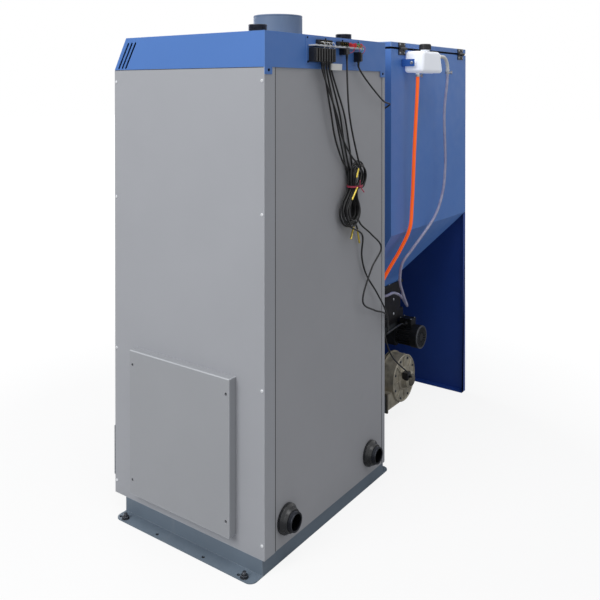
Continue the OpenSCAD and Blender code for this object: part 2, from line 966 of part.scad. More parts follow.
module cable_plug(x, z0, z1, w) {
  difference() {
    union() {
      block([x - w / 2, plate_y, z0], [x + w / 2, plate_y + plug_d - 6, z1]);
      block([x - w / 2 + 1, plate_y + 2, z0], [x + w / 2 - 1, plate_y + plug_d, z1 - 8]);
    }
    for (i = [0 : 2])
      block(
        [x - w / 2 + 1.5, plate_y + plug_d - 1.5, z0 + 6 + i * 8],
        [x + w / 2 - 1.5, plate_y + plug_d + 1, z0 + 9 + i * 8]
      );
  }
}

module cable_plugs() {
  color("#131519") {
    for (i = [0 : plug_count - 1])
      cable_plug(plate_x1 - 17 - i * plug_pitch, plug_z, plug_z + plug_h, plug_w);
    cable_plug(wide_plug_x, plug_z + 26, strip_z - 1, wide_plug_w);
    cable_plug(left_plug_x, plug_z + 7, plug_z + 7 + left_plug_h, left_plug_w);
  }
}

module terminal(x, z) {
  block([x - terminal_w / 2, plate_y, z], [x + terminal_w / 2, plate_y + terminal_d, z + terminal_h]);
}

module red_terminals() {
  color("#C8232B")
    for (x = red_terminal_x)
      terminal(x, socket_z0);
}

module green_terminals() {
  color("#2E8B3C")
    terminal(green_terminal_x, socket_z0);
}

module control_housing() {
  screen_hole_t = 3;
  color("#1C1F24")
    on_slope()
      difference() {
        union() {
          linear_extrude(height = panel_t)
            round_plate(panel_w, panel_h, 8);
          translate([-panel_back_w / 2, -panel_back_h / 2, -panel_back_t])
            cube([panel_back_w, panel_back_h, panel_back_t + 1]);
        }
        translate([screen_x, 0, panel_t - screen_hole_t])
          linear_extrude(height = screen_hole_t + 1)
            square([screen_w, screen_h], center = true);
        translate([knob_x, 0, -4])
          cylinder(h = panel_t + 6, d = knob_shaft_d + 2 * run);
        difference() {
          translate([switch_x, 0, -12])
            linear_extrude(height = panel_t + 13)
              square([switch_w + 1, switch_h + 5], center = true);
          rod_x(switch_x - switch_w, switch_x + switch_w, 0, -1, switch_axle_r);
        }
      }
}

module display_window() {
  color("#0B2B4F")
    on_slope()
      translate([screen_x, 0, panel_t - 3])
        linear_extrude(height = 2.2)
          square([screen_w - 2 * seat, screen_h - 2 * seat], center = true);
}

module selector_knob() {
  grips = 20;
  color("#B9BEC4")
    on_slope()
      translate([knob_x, 0, 0]) {
        translate([0, 0, -3])
          cylinder(h = panel_t + 8, d = knob_shaft_d);
        translate([0, 0, panel_t + seat])
          difference() {
            union() {
              cylinder(h = 13, d = knob_d);
              translate([0, 0, 13])
                cylinder(h = 2, d1 = knob_d, d2 = knob_d - 4);
            }
            for (i = [0 : grips - 1])
              rotate(360 * i / grips)
                translate([knob_d / 2 + 0.6, 0, 3])
                  cylinder(h = 20, d = 3);
          }
      }
}

// The rocker turns about an axle along X that lies under the panel's face
module power_switch() {
  a = switch_h / 2 - 2;
  color("#7A1418")
    on_slope()
      translate([0, 0, -1])
        along_x(switch_x - switch_w / 2, switch_x + switch_w / 2)
          difference() {
            polygon([[-a + 2, -4], [a - 2, -4], [a, 10], [0, 9], [-a, 15]]);
            circle(switch_axle_r + run);
          }
}

// Door with its leaf, rim, inner insulated block, hinge knuckles and latch hole
module door(z0, h) {
  z1 = z0 + h;
  mid_x = (leaf_left + leaf_right) / 2;
  leaf_w = leaf_right - leaf_left;
  difference() {
    union() {
      translate([mid_x, leaf_back, (z0 + z1) / 2])
        rotate([90, 0, 0]) {
          linear_extrude(height = leaf_t - 6)
            round_plate(leaf_w, h, 14);
          linear_extrude(height = leaf_t)
            difference() {
              round_plate(leaf_w, h, 14);
              round_plate(leaf_w - 44, h - 44, 10);
            }
          linear_extrude(height = leaf_t - 2)
            round_plate(leaf_w - 80, h - 80, 10);
        }
      block(
        [-plug_x, leaf_back - 1, z0 + plug_inset],
        [plug_x, vessel_front - seal_t - seat, z1 - plug_inset]
      );
      for (z = hinge_heights(z0, h)) {
        translate([hinge_x, hinge_y, z - knuckle_h / 2])
          cylinder(h = knuckle_h, r = knuckle_r);
        block(
          [leaf_right - 2, hinge_y - 5, z - knuckle_h / 2],
          [hinge_x, hinge_y + 5, z + knuckle_h / 2]
        );
      }
    }
    block(
      [leaf_left + 12, leaf_front + 11, z0 + 12],
      [leaf_right - 12, leaf_back - 4, z1 - 12]
    );
    block(
      [-plug_x + 5, leaf_front + 11, z0 + plug_inset + 5],
      [plug_x - 5, vessel_front - seal_t - seat - 5, z1 - plug_inset - 5]
    );
    for (z = hinge_heights(z0, h))
      translate([hinge_x, hinge_y, z - knuckle_h])
        cylinder(h = 2 * knuckle_h, r = door_pin_d / 2 + run);
    rod_y(leaf_front - 1, leaf_back + 1, latch_x, (z0 + z1) / 2, keyhole / 2);
  }
}

function hinge_heights(z0, h) = [z0 + 70, z0 + h - 70];

// Seal rope on the rim of a door's inner block
module door_seal(z0, h) {
  z1 = z0 + h;
  difference() {
    block(
      [-plug_x, vessel_front - seal_t - seat, z0 + plug_inset],
      [plug_x, vessel_front - seat, z1 - plug_inset]
    );
    block(
      [-plug_x + seal_w, vessel_front - seal_t - 2, z0 + plug_inset + seal_w],
      [plug_x - seal_w, vessel_front + 1, z1 - plug_inset - seal_w]
    );
  }
}

// Lever outside, spindle through the leaf and latch tongue behind the front panel
module door_handle(z0, h) {
  z = z0 + h / 2;
  hub_y = leaf_front - seat;
  difference() {
    union() {
      rod_y(hub_y - 14, tongue_y + tongue_t, latch_x, z, spindle_d / 2);
      rod_y(hub_y - 26, hub_y, latch_x, z, 14);
      block([latch_x - 8, hub_y - 24, z - 40], [latch_x + 8, hub_y - 14, z]);
      translate([latch_x, hub_y - 19, z - lever_l])
        cylinder(h = lever_l - 34, r1 = 13, r2 = 10);
      translate([latch_x, hub_y - 19, z - lever_l])
        sphere(13);
      block(
        [latch_x - 8, tongue_y, z - tongue_l],
        [latch_x + 8, tongue_y + tongue_t, z]
      );
    }
    rod_y(hub_y - 27, hub_y - 21, latch_x, z, 5);
  }
}

module furnace_door() {
  color("#3C434B")
    door(furnace_door_z, furnace_door_h);
}

module furnace_handle() {
  color("#17191C")
    door_handle(furnace_door_z, furnace_door_h);
}

module furnace_seal() {
  color("#B8B4A8")
    door_seal(furnace_door_z, furnace_door_h);
}

module cleaning_door() {
  color("#3C434B")
    door(cleaning_door_z, cleaning_door_h);
}

module cleaning_handle() {
  color("#17191C")
    door_handle(cleaning_door_z, cleaning_door_h);
}

module cleaning_seal() {
  color("#B8B4A8")
    door_seal(cleaning_door_z, cleaning_door_h);
}

module door_hinge_pins() {
  plate_y0 = front_y + sheet - 3;
  arm_z = knuckle_h / 2 + seat;
  color("#2B2F34")
    for (d = [[furnace_door_z, furnace_door_h], [cleaning_door_z, cleaning_door_h]])
      for (z = hinge_heights(d[0], d[1])) {
        block([hinge_x - 12, plate_y0, z - 38], [hinge_x + 28, front_y + sheet, z + 38]);
        for (s = [-1, 1])
          translate([hinge_x, hinge_y, z + s * (arm_z + arm_t / 2)])
            linear_extrude(height = arm_t, center = true) {
              circle(knuckle_r);
              translate([-knuckle_r, 0])
                square([2 * knuckle_r, front_y + sheet - hinge_y]);
            }
        translate([hinge_x, hinge_y, z - arm_z - arm_t])
          cylinder(h = 2 * (arm_z + arm_t), d = door_pin_d);
      }
}

module ash_drawer() {
  front_back = front_y - seat;
  front_face = front_back - drawer_front_t;
  front_x = drawer_front_w / 2;
  z1 = drawer_z0 + drawer_front_h;
  grip_l = 150;
  grip_z = drawer_z0 + drawer_front_h * 0.6;
  color("#33383E") {
    difference() {
      union() {
        difference() {
          block([-front_x, front_face, drawer_z0], [front_x, front_back, z1]);
          block(
            [-front_x + drawer_wall, front_face + drawer_wall, drawer_z0 + drawer_wall],
            [front_x - drawer_wall, front_back + 1, z1 - drawer_wall]
          );
        }
        block(
          [-drawer_x, front_face + 1, drawer_floor_z],
          [drawer_x, drawer_back_y, drawer_side_z]
        );
      }
      block(
        [-drawer_x + drawer_wall, front_face + drawer_wall, drawer_floor_z + drawer_wall],
        [drawer_x - drawer_wall, drawer_back_y - drawer_wall, drawer_side_z + 1]
      );
    }
    for (x = [-1, 1])
      rod_y(front_face - 30, front_face + 1, x * grip_l / 2, grip_z, 6);
    rod_x(-grip_l / 2 - 14, grip_l / 2 + 14, front_face - 30, grip_z, 9);
  }
}

module burner() {
  wall = burner_wall;
  tube_r = fire_tube_d / 2;
  box_x1 = panel_out_x - seat;
  air_holes = 8;
  color("#24272B")
    difference() {
      union() {
        block(
          [burner_box_x, -burner_box_y, burner_box_z0],
          [box_x1, burner_box_y, burner_box_z1]
        );
        rod_x(box_x1 - 2, fire_tube_end, 0, feed_z, tube_r);
        rod_x(-vessel_x - burner_flange_t, -vessel_x, 0, feed_z, burner_flange_d / 2);
      }
      block(
        [burner_box_x + wall, -burner_box_y + wall, burner_box_z0 + wall],
        [box_x1 - wall, burner_box_y - wall, burner_box_z1 - wall]
      );
      rod_x(box_x1 - 10, fire_tube_end + 1, 0, feed_z, tube_r - 6);
      rod_x(burner_box_x - 1, burner_box_x + wall + 1, 0, feed_z, feed_r + seat);
      block(
        [duct_up_x0 + duct_wall + 24, outlet_y0 + duct_wall, burner_box_z0 - 1],
        [duct_x1 - duct_wall, outlet_y1 - duct_wall, burner_box_z0 + wall + 1]
      );
      for (i = [0 : air_holes - 1])
        translate([fire_tube_end - 45, 0, feed_z])
          rotate([360 * i / air_holes, 0, 0])
            cylinder(h = tube_r + 1, r = 5);
    }
}

module feeder_tube() {
  mouth_x0 = neck_x0 + 22;
  mouth_x1 = neck_x1 - 22;
  color("#2A2D31")
    difference() {
      rod_x(feed_start, feed_end, 0, feed_z, feed_r);
      rod_x(feed_start + 6, feed_end + 1, 0, feed_z, feed_bore_r);
      rod_x(feed_start - 1, feed_start + 7, 0, feed_z, auger_shaft_d / 2 + 1);
      block([mouth_x0, -feed_bore_r + 4, feed_z], [mouth_x1, feed_bore_r - 4, feed_z + feed_r + 2]);
    }
}

// One flight wound round the shaft, as a band of constant thickness along the axis
module flight(x0, x1, r, pitch, t) {
  steps = 18;
  n = floor((x1 - x0 - t) / pitch * steps);
  inner = auger_shaft_d / 2 - 1;
  points = [
    for (i = [0 : n])
      let (a = 360 * i / steps, x = x0 + pitch * i / steps)
        for (q = [[inner, 0], [r, 0], [r, t], [inner, t]])
          [x + q[1], q[0] * cos(a), q[0] * sin(a)]
  ];
  walls = [
    for (i = [0 : n - 1])
      for (k = [0 : 3])
        let (m = (k + 1) % 4)
          for (f = [
            [i * 4 + k, i * 4 + m, (i + 1) * 4 + m],
            [i * 4 + k, (i + 1) * 4 + m, (i + 1) * 4 + k]
          ]) f
  ];
  polyhedron(
    points = points,
    faces = concat(walls, [[3, 2, 1, 0], [n * 4, n * 4 + 1, n * 4 + 2, n * 4 + 3]]),
    convexity = 20
  );
}

module feeder_auger() {
  color("#8C9096") {
    rod_x(feed_start - 42, auger_end, 0, feed_z, auger_shaft_d / 2);
    translate([0, 0, feed_z])
      flight(feed_start + 16, auger_end, flight_r, auger_pitch, flight_t);
  }
}

module gearbox() {
  color("#1B1D20")
    difference() {
      union() {
        block(
          [gearbox_x, -gearbox_y, gearbox_z0 + gearbox_foot],
          [feed_start, gearbox_y, gearbox_z1]
        );
        block(
          [gearbox_x + 8, -gearbox_y + 8, gearbox_z0],
          [feed_start - 8, gearbox_y, gearbox_z0 + gearbox_foot + 1]
        );
        rod_x(gearbox_x - 5, gearbox_x + 1, 0, feed_z, 30);
        for (i = [0 : 4]) {
          rib_x = gearbox_x + 10 + i * gearbox_rib_pitch;
          block(
            [rib_x, -gearbox_y - 5, gearbox_z0 + 2 * gearbox_foot],
            [rib_x + gearbox_rib, -gearbox_y + 1, gearbox_z1 - gearbox_foot]
          );
        }
      }
      rod_x(feed_start - 42 - seat, feed_start + 1, 0, feed_z, auger_shaft_d / 2 + run);
    }
}

module gear_motor() {
  body_r = motor_d / 2 - 5;
  fin_r = motor_d / 2 - seat;
  color("#17191C")
    difference() {
      union() {
        rod_y(motor_y0, motor_y1, motor_x, motor_z, body_r);
        rod_y(motor_y0, motor_y0 + 8, motor_x, motor_z, fin_r);
        rod_y(motor_y1 - 8, motor_y1, motor_x, motor_z, fin_r);
        for (i = [0 : fin_count - 1])
          translate([motor_x, motor_y0, motor_z])
            rotate([0, 360 * i / fin_count, 0])
              translate([-1.5, 0, body_r - 3])
                cube([3, motor_y1 - motor_y0, 7.4]);
        block(
          [motor_x - 22, motor_y0 + 10, motor_z + body_r - 4],
          [motor_x + 22, motor_y0 + 66, motor_z + body_r + 28]
        );
      }
      rod_y(motor_y1 - 20, motor_y1 + 1, motor_x, motor_z, fan_shaft_d / 2 + run);
    }
}

module motor_fan() {
  blades = 7;
  fan_r = motor_d / 2 - 9;
  color("#3A3D42") {
    rod_y(motor_y1 - 18, cowl_y1 - 8, motor_x, motor_z, fan_shaft_d / 2);
    rod_y(motor_y1 + 4, cowl_y1 - 8, motor_x, motor_z, 12);
    rod_y(motor_y1 + 4, motor_y1 + 6, motor_x, motor_z, fan_r);
    for (i = [0 : blades - 1])
      translate([motor_x, motor_y1 + 5, motor_z])
        rotate([0, 360 * i / blades, 0])
          translate([-1, 0, 10])
            cube([2, 11, fan_r - 10]);
  }
}

module motor_cowl() {
  inner = motor_d / 2;
  slots = 20;
  color("#1A1C1F")
    difference() {
      rod_y(cowl_y0, cowl_y1, motor_x, motor_z, inner + 2);
      rod_y(cowl_y0 - 1, cowl_y1 - 3, motor_x, motor_z, inner);
      for (i = [0 : slots - 1])
        translate([motor_x, cowl_y1 - 4, motor_z])
          rotate([0, 360 * i / slots, 0])
            translate([-1.6, 0, 16])
              cube([3.2, 6, inner - 22]);
    }
}

module blower_housing() {
  scroll_low = blower_z - blower_r;
  color("#A7A79F")
    difference() {
      union() {
        rod_y(blower_y0, blower_y1, blower_x, blower_z, blower_r);
        rod_y(blower_y0 + 10, blower_y0 + 16, blower_x, blower_z, blower_r + 5);
        block(
          [blower_x, outlet_y0, scroll_low],
          [outlet_x, outlet_y1, scroll_low + outlet_h]
        );
        rod_y(blower_y1 - 1, blower_y1 + 28, blower_x, blower_z, 34);
        translate([blower_x, blower_y1 + 28, blower_z])
          rotate([-90, 0, 0])
            cylinder(h = 7, r1 = 34, r2 = 24);
        block(
          [blower_x + 6, blower_y1 + 8, blower_z + 6],
          [blower_x + 34, blower_y1 + 33, blower_z + 34]
        );
      }
      rod_y(
        blower_y0 + blower_wall, blower_y1 - blower_wall,
        blower_x, blower_z, blower_r - blower_wall
      );
      block(
        [blower_x, outlet_y0 + blower_wall, scroll_low + blower_wall],
        [outlet_x + 1, outlet_y1 - blower_wall, scroll_low + outlet_h - blower_wall]
      );
      rod_y(blower_y0 - 1, blower_y0 + blower_wall + 1, blower_x, blower_z, 36);
      rod_y(blower_y1 - blower_wall - 1, blower_y1 + 18, blower_x, blower_z, fan_shaft_d / 2 + run);
    }
}

module blower_impeller() {
  wheel_y0 = blower_y0 + blower_wall + 4;
  wheel_y1 = blower_y1 - blower_wall - 4;
  blade_in = wheel_r - 22;
  color("#8B8F94") {
    rod_y(wheel_y1 - 20, blower_y1 + 16, blower_x, blower_z, fan_shaft_d / 2);
    rod_y(wheel_y1 - 20, wheel_y1, blower_x, blower_z, 12);
    rod_y(wheel_y1 - 2, wheel_y1, blower_x, blower_z, wheel_r);
    for (i = [0 : blower_blades - 1])
      translate([blower_x, wheel_y0, blower_z])
        rotate([0, 360 * i / blower_blades, 0])
          translate([0, 0, blade_in])
            rotate([0, 24, 0])
              translate([-1, 0, 0])
                cube([2, wheel_y1 - wheel_y0 - 1, 20]);
  }
}

module blower_duct() {
  z0 = blower_z - blower_r;
  z1 = z0 + outlet_h;
  top = burner_box_z0;
  color("#2A2D31")
    difference() {
      union() {
        block([outlet_x, outlet_y0, z0], [duct_x1, outlet_y1, z1]);
        block([duct_up_x0 + 14, outlet_y0, z0], [duct_x1, outlet_y1, top]);
      }
      block(
        [outlet_x - 1, outlet_y0 + duct_wall, z0 + duct_wall],
        [duct_x1 - duct_wall, outlet_y1 - duct_wall, z1 - duct_wall]
      );
      block(
        [duct_up_x0 + 14 + duct_wall, outlet_y0 + duct_wall, z0 + duct_wall],
        [duct_x1 - duct_wall, outlet_y1 - duct_wall, top + 1]
      );
    }
}

// Frustum between a rectangle at z_top and one at z_low, each as from X, to X, from Y, to Y
module funnel_solid(top, z_top, low, z_low) {
  polyhedron(
    points = [
      for (e = [[low, z_low], [top, z_top]])
        for (k = [[0, 2], [1, 2], [1, 3], [0, 3]])
          [e[0][k[0]], e[0][k[1]], e[1]]
    ],
    faces = [[0, 1, 2, 3], [4, 7, 6, 5], [0, 4, 5, 1], [1, 5, 6, 2], [2, 6, 7, 3], [3, 7, 4, 0]]
  );
}

function inset(r, d) = [r[0] + d, r[1] - d, r[2] + d, r[3] - d];

module drop_box() {
  upper = [neck_x0, neck_x1, -neck_w / 2, neck_w / 2];
  lower = [neck_x0 + 10, neck_x1 - 10, -feed_r - 4, feed_r + 4];
  taper_z = feed_z + 52;
  color("#16181B")
    difference() {
      union() {
        block([upper[0], upper[2], taper_z], [upper[1], upper[3], drop_top_z]);
        funnel_solid(upper, taper_z + eps, lower, drop_low_z);
      }
      block(
        [upper[0] + drop_wall, upper[2] + drop_wall, taper_z - eps],
        [upper[1] - drop_wall, upper[3] - drop_wall, drop_top_z + 1]
      );
      funnel_solid(inset(upper, drop_wall), taper_z + 2 * eps, inset(lower, drop_wall), drop_low_z - 1);
      rod_x(feed_start - 1, feed_end, 0, feed_z, feed_r + seat);
    }
}

module hopper_bin() {
  outer = [bin_x0, hopper_x1, hopper_front, hopper_rear_y];
  neck = [neck_x0, neck_x1, -neck_w / 2, neck_w / 2];
  color("#4A6596")
    difference() {
      union() {
        block(
          [outer[0], outer[2], funnel_top_z],
          [outer[1], outer[3], hopper_rim_z]
        );
        funnel_solid(outer, funnel_top_z + eps, neck, funnel_low_z);
        block([neck[0], neck[2], drop_top_z], [neck[1], neck[3], funnel_low_z + eps]);
      }
      block(
        [outer[0] + sheet, outer[2] + sheet, funnel_top_z - eps],
        [outer[1] - sheet, outer[3] - sheet, hopper_rim_z - sheet]
      );
      block(
        [outer[0] + rim_flange, outer[2] + rim_flange, hopper_rim_z - sheet - 1],
        [outer[1] - rim_flange, outer[3] - rim_flange, hopper_rim_z + 1]
      );
      funnel_solid(inset(outer, sheet), funnel_top_z + eps, inset(neck, sheet), funnel_low_z - eps);
      block(
        [neck[0] + sheet, neck[2] + sheet, drop_top_z - 1],
        [neck[1] - sheet, neck[3] - sheet, funnel_low_z + eps]
      );
    }
}

module hopper_casing() {
  front_out = hopper_front - sheet;
  skirt_top = funnel_top_z - 6;
  color("#24386E") {
    block([hopper_x0, front_out, 0], [bin_x0, hopper_rear_y, hopper_rim_z]);
    block([hopper_x0, front_out, 0], [hopper_x1, hopper_front, hopper_rim_z]);
    block([hopper_x0, front_out, 0], [bin_x0 + foot_flange, hopper_rear_y, sheet]);
    block([hopper_x0, front_out, 0], [hopper_x1, hopper_front + foot_flange, sheet]);
    block(
      [hopper_x0, hopper_rear_y - sheet, 0],
      [bin_x0 + foot_return, hopper_rear_y, skirt_top]
    );
    block(
      [hopper_x1 - sheet, front_out, 0],
      [hopper_x1, hopper_front + foot_flange, skirt_top]
    );
  }
}

module hopper_lid() {
  front_out = hopper_front - sheet;
  color("#5F80BC")
    difference() {
      block([hopper_x0, front_out, lid_z0], [hopper_x1, hopper_rear_y, lid_z1]);
      block(
        [hopper_x0 + sheet, front_out + sheet, lid_z0 - 1],
        [hopper_x1 - sheet, hopper_rear_y - sheet, lid_z1 - sheet]
      );
    }
}

module lid_seal() {
  a = inset([hopper_x0, hopper_x1, hopper_front, hopper_rear_y], seal_inset);
  b = inset(a, lid_seal_w);
  color("#0D0F14")
    difference() {
      block([a[0], a[2], hopper_rim_z + seat], [a[1], a[3], lid_z1 - sheet]);
      block([b[0], b[2], hopper_rim_z - 1], [b[1], b[3], lid_z1]);
    }
}

module lid_hinge_brackets() {
  third = lid_hinge_w / 3;
  color("#14161B")
    for (x = lid_hinge_x) {
      block(
        [x - lid_hinge_w / 2, hopper_rear_y, lid_axis_z - 25],
        [x + lid_hinge_w / 2, hopper_rear_y + lid_leaf_t, lid_axis_z - 6]
      );
      for (s = [-1, 1])
        translate([x + s * third, 0, 0]) {
          rod_x(-third / 2, third / 2, lid_axis_y, lid_axis_z, lid_knuckle_r);
          block(
            [-third / 2, hopper_rear_y, lid_axis_z - 7],
            [third / 2, lid_axis_y, lid_axis_z - 3]
          );
        }
      rod_x(x - lid_hinge_w / 2, x + lid_hinge_w / 2, lid_axis_y, lid_axis_z, lid_pin_d / 2);
    }
}

module lid_hinge_leaves() {
  knuckle_w = lid_hinge_w / 3 - 2 * seat;
  color("#14161B")
    for (x = lid_hinge_x)
      difference() {
        union() {
          block(
            [x - lid_hinge_w / 2, hopper_rear_y, lid_axis_z + 6],
            [x + lid_hinge_w / 2, hopper_rear_y + lid_leaf_t, lid_z1 - 1]
          );
          rod_x(x - knuckle_w / 2, x + knuckle_w / 2, lid_axis_y, lid_axis_z, lid_knuckle_r);
          block(
            [x - knuckle_w / 2, hopper_rear_y + seat, lid_axis_z + 2.6],
            [x + knuckle_w / 2, lid_axis_y, lid_axis_z + 7]
          );
        }
        rod_x(x - lid_hinge_w, x + lid_hinge_w, lid_axis_y, lid_axis_z, lid_pin_d / 2 + run);
      }
}

module lid_handle() {
  mid_x = (hopper_x0 + hopper_x1) / 2;
  grip_l = 130;
  y = hopper_front - sheet;
  z = lid_z0 + lid_h / 2;
  color("#14161B") {
    for (s = [-1, 1])
      rod_y(y - 26, y, mid_x + s * grip_l / 2, z, 5);
    rod_x(mid_x - grip_l / 2 - 8, mid_x + grip_l / 2 + 8, y - 26, z, 7);
  }
}

// Rounded block over the tank's four corners, given in X and Z
module tank_form(corners, r) {
  hull()
    for (p = corners, y = [tank_y0 + tank_r, tank_y1 - tank_r])
      translate([p[0], y, p[1]])
        sphere(r, $fn = 24);
}

// Moulded tank, wider at its bottom, with round edges and a neck for the cap
module water_tank() {
  boss_z = bracket_z0 + bracket_h / 2;
  low_z = tank_z0 + tank_r;
  high_z = tank_z1 - tank_r;
  corners = [
    [tank_x0 + tank_r, low_z], [tank_x1 - tank_r, low_z],
    [tank_x0 + tank_taper[1] + tank_r, high_z], [tank_x1 - tank_taper[0] - tank_r, high_z]
  ];
  color("#E9EDF0")
    difference() {
      union() {
        tank_form(corners, tank_r);
        translate([cap_x, cap_y, tank_z1 - 2])
          cylinder(h = 20, r = neck_r);
        rod_x(tank_x1 - 14, bracket_x - sheet, tank_y0 + 40, boss_z, 9);
        rod_x(elbow_end_x, elbow_end_x + 14, elbow_y, elbow_z, elbow_r + 3);
      }
      tank_form(corners, tank_r - tank_wall);
      translate([cap_x, cap_y, tank_z1 - 8])
        cylinder(h = 30, r = neck_r - tank_wall);
    }
}

module tank_cap() {
  ribs = 24;
  color("#17191C")
    translate([cap_x, cap_y, cap_z0])
      difference() {
        cylinder(h = cap_h, d = cap_d);
        translate([0, 0, -1])
          cylinder(h = cap_h - 3, r = neck_r + run);
        for (i = [0 : ribs - 1])
          rotate(360 * i / ribs)
            translate([cap_d / 2 + 0.5, 0, 2])
              cylinder(h = cap_h, d = 3);
      }
}

module tank_bracket() {
  color("#2F5BA0") {
    block(
      [tank_x0 + 20, hopper_rear_y, bracket_z0],
      [bracket_x, hopper_rear_y + sheet, bracket_z0 + bracket_h]
    );
    block(
      [bracket_x - sheet, hopper_rear_y, bracket_z0],
      [bracket_x, hopper_rear_y + 54, bracket_z0 + bracket_h]
    );
  }
}

module tank_elbow() {
  bend_x = elbow_x + elbow_bend;
  low_z = elbow_z - elbow_bend;
  color("#E6E4D8") {
    rod_x(bend_x, elbow_end_x, elbow_y, elbow_z, elbow_r);
    translate([bend_x, elbow_y, low_z])
      rotate([90, 0, 0])
        rotate([0, 0, 90])
          rotate_extrude(angle = 90, $fn = 48)
            translate([elbow_bend, 0])
              circle(elbow_r, $fn = 24);
    translate([elbow_x, elbow_y, hose_top_z])
      cylinder(h = low_z - hose_top_z + 0.5, r = elbow_r);
  }
  color("#9A9DA2") {
    translate([elbow_x, elbow_y, hose_top_z + 4])
      difference() {
        cylinder(h = 9, r = elbow_r + 2.5);
        translate([0, 0, -1])
          cylinder(h = 11, r = elbow_r + seat);
      }
    block(
      [elbow_x - 16, elbow_y - 4, hose_top_z + 3],
      [elbow_x - elbow_r - 1.5, elbow_y + 5, hose_top_z + 14]
    );
  }
}

module orange_hose() {
  color("#FF6A20")
    tube(orange_route, orange_d / 2, 10);
}

module clear_hose() {
  color("#A9A6C4")
    tube(clear_route, clear_d / 2, 8);
}

// The hank: one cable in layers of long loops, drawn in at the waist and bent there. It spirals
// in, climbs a layer along the run where it turns back, spirals out and climbs again.
hank_steps = 24;
hank_layer = cable_d + 0.7;
hank_centre = [-95, 326, 1021];
hank_waist = 17.5;
hank_waist_step = 7.4;
hank_low_r = 53;
hank_low_step = 13;
hank_high_r = 52;
hank_high_step = 15;
hank_lean = 8;
hank_bend = 50;
hank_bend_l = 90;
hank_bend_start = -30;
hank_last = (hank_layers * hank_loops - 1) * hank_steps + 5;
function hank_in(t) = let (m = t % (2 * hank_loops)) min(m, 2 * hank_loops - m);
function hank_rise(t, k = 1) =
  k == hank_layers ? 0 : min(1, max(0, (t - k * hank_loops + 0.25) * 2)) + hank_rise(t, k + 1);
// Half width and height on a quarter of a loop, from the waist, f = 0, to the lobe's end, f = 1
function hank_lobe(f, r, h, waist) =
  let (
    s = f * (h - r + PI * r / 2),
    e = min(1, s / (h - r)),
    a = max(0, s - h + r) / r * 180 / PI
  )
    [(waist + (r - waist) * e * e * (3 - 2 * e)) * cos(a), min(s, h - r) + r * sin(a)];
function hank_local(t) =
  let (
    q = hank_in(t),
    a = (t + 1) % 1 * 4,
    k = floor(a),
    f = k % 2 == 0 ? a - k : k + 1 - a,
    waist = hank_waist - q * hank_waist_step,
    lobe = k < 2
      ? hank_lobe(f, hank_low_r - q * hank_low_step, hank_low_h - q * hank_low_step, waist)
      : hank_lobe(f, hank_high_r - q * hank_high_step, hank_high_h - q * hank_high_step, waist)
  )
    [
      k == 0 || k == 3 ? lobe[0] : -lobe[0],
      (hank_rise(t) - (hank_layers - 1) / 2) * hank_layer,
      k < 2 ? -lobe[1] : lobe[1]
    ];
// The hank's middle line leans by hank_lean below the tie and by hank_bend more above it
function hank_turn(u) =
  hank_lean + hank_bend * min(1, max(0, (u - hank_bend_start) / hank_bend_l));
function hank_axis(u) =
  let (
    r = hank_bend_l / hank_bend * 180 / PI,
    a = hank_turn(u),
    v = u - hank_bend_start,
    rest = min(0, v) + max(0, v - hank_bend_l)
  )
    [r * (cos(a) - cos(hank_lean)) - rest * sin(a), 0, r * (sin(a) - sin(hank_lean)) + rest * cos(a)];
function hank_place(p) =
  let (a = hank_turn(p[2]))
    hank_centre + hank_axis(p[2]) - hank_axis(0) + [p[0] * cos(a), p[1], p[0] * sin(a)];
hank_turns = [for (i = [-1 : hank_last]) hank_place(hank_local(i / hank_steps))];
hank_n = len(hank_turns);
hank_dir_in = unit(hank_turns[1] - hank_turns[0]);
hank_dir_out = unit(hank_turns[hank_n - 1] - hank_turns[hank_n - 2]);
hank_path = concat(
  [hank_turns[0] - cable_d * hank_dir_in],
  hank_turns,
  [hank_turns[hank_n - 1] + cable_d * hank_dir_out]
);
hank_upper = concat(
  upper_route_a,
  [hank_path[0] - 2 * cable_d * hank_dir_in, hank_path[0]]
);
hank_lower = concat(
  [hank_path[hank_n + 1], hank_path[hank_n + 1] + 2 * cable_d * hank_dir_out],
  lower_route_a
);
// Least gap between stretches of the hank that are at least a quarter turn apart
hank_gap = min([
  for (i = [0 : hank_n + 1])
    for (j = [i + 6 : 1 : hank_n + 1])
      norm(hank_path[i] - hank_path[j])
]) - cable_d;
echo(hank_gap = hank_gap);

module cable_hank() {
  color("#121317")
    tube(hank_path, cable_d / 2, 6);
}

module cable_runs() {
  color("#121317")
    for (r = [hank_upper, hank_lower, route_b, route_c, route_d, route_e, route_f, side_route])
      tube(r, cable_d / 2 - 0.2, 8);
}

// Brass sleeve that carries on from the end of a route
tip_r = 2.9;
short_tip_l = 28;
module tip(route, l) {
  n = len(route);
  d = unit(route[n - 1] - route[n - 2]);
  tube([for (s = [0, l - 2, l]) route[n - 1] + s * d], tip_r, 10);
}

module sensor_tips() {
  color("#C9A23A") {
    for (r = [route_b, route_d, route_f])
      tip(r, tip_l);
    tip(route_e, short_tip_l);
  }
}

